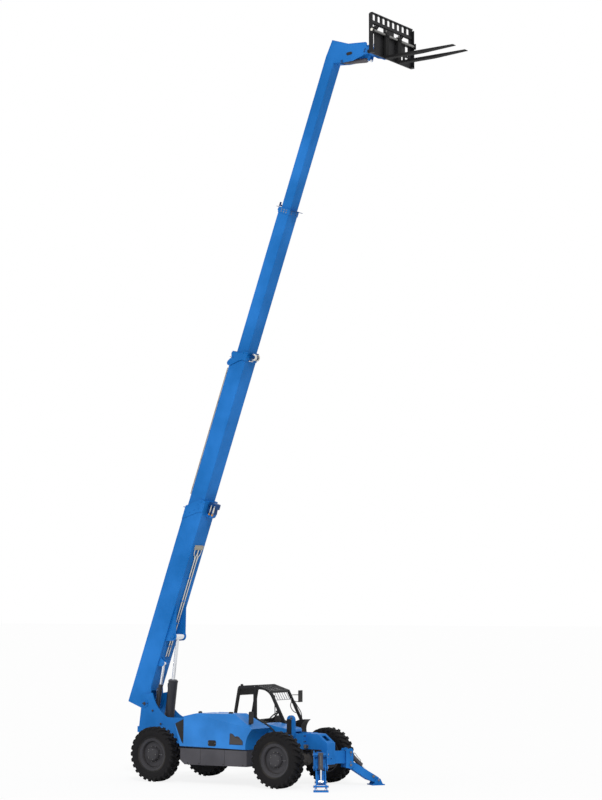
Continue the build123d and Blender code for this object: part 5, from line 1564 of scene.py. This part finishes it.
class HANDLER_OT_hood_fittings(bpy.types.Operator):
    """Make the hood's latch, seams, panels and caps, and its mirror"""

    bl_idname = "handler.hood_fittings"
    bl_label = "Hood fittings"

    def execute(self, context):
        make_hood_fittings()
        return {"FINISHED"}


class HANDLER_OT_side_fittings(bpy.types.Operator):
    """Make the tank cover's joints and bolts, the cab's steps and the frame's lines"""

    bl_idname = "handler.side_fittings"
    bl_label = "Tank, steps and lines"

    def execute(self, context):
        make_side_fittings()
        return {"FINISHED"}


class HANDLER_OT_boom_fittings(bpy.types.Operator):
    """Make the boom's welds, screws, tabs, sensor, tubes, anchors and sheaves"""

    bl_idname = "handler.boom_fittings"
    bl_label = "Boom fittings"

    def execute(self, context):
        make_boom_fittings()
        return {"FINISHED"}


class HANDLER_OT_cylinder_fittings(bpy.types.Operator):
    """Make the cylinders' glands, ports and lines"""

    bl_idname = "handler.cylinder_fittings"
    bl_label = "Cylinder fittings"

    def execute(self, context):
        make_cylinder_fittings()
        return {"FINISHED"}


class HANDLER_OT_frame_fittings(bpy.types.Operator):
    """Make the frame's pin heads, bolts, front cover, lamps, hitch and axle covers"""

    bl_idname = "handler.frame_fittings"
    bl_label = "Frame fittings"

    def execute(self, context):
        make_frame_fittings()
        return {"FINISHED"}


class HANDLER_OT_head_fittings(bpy.types.Operator):
    """Make the fittings of the boom's head, the coupler and the carriage"""

    bl_idname = "handler.head_fittings"
    bl_label = "Head and carriage fittings"

    def execute(self, context):
        make_head_fittings()
        return {"FINISHED"}


OPERATORS = (
    HANDLER_OT_stage, HANDLER_OT_nodes, HANDLER_OT_tyres, HANDLER_OT_wheel_fittings, HANDLER_OT_seat,
    HANDLER_OT_openings, HANDLER_OT_cab_fittings, HANDLER_OT_hood_fittings, HANDLER_OT_side_fittings,
    HANDLER_OT_boom_fittings, HANDLER_OT_cylinder_fittings, HANDLER_OT_frame_fittings,
    HANDLER_OT_head_fittings,
)


class HANDLER_PT_panel(bpy.types.Panel):
    """Lists the handler's sizes, colours and pieces"""

    bl_label = "Telescopic handler"
    bl_idname = "HANDLER_PT_panel"
    bl_space_type = "VIEW_3D"
    bl_region_type = "UI"
    bl_category = "Handler"

    def draw(self, context):
        look = context.scene.handler_looks
        for name in HandlerLooks.__annotations__:
            self.layout.prop(look, name)
        for made in OPERATORS:
            self.layout.operator(made.bl_idname)


CLASSES = (HandlerLooks, *OPERATORS, HANDLER_PT_panel)


def register():
    """Register the classes and hang the properties on the scene."""
    for made in CLASSES:
        bpy.utils.register_class(made)
    bpy.types.Scene.handler_looks = bpy.props.PointerProperty(type=HandlerLooks)


def unregister():
    """Take the properties and classes away again."""
    del bpy.types.Scene.handler_looks
    for made in reversed(CLASSES):
        bpy.utils.unregister_class(made)


def main():
    """Make every piece in order."""
    register()
    for made in OPERATORS:
        group, name = made.bl_idname.split(".")
        getattr(getattr(bpy.ops, group), name)()


if __name__ == "__main__":
    main()
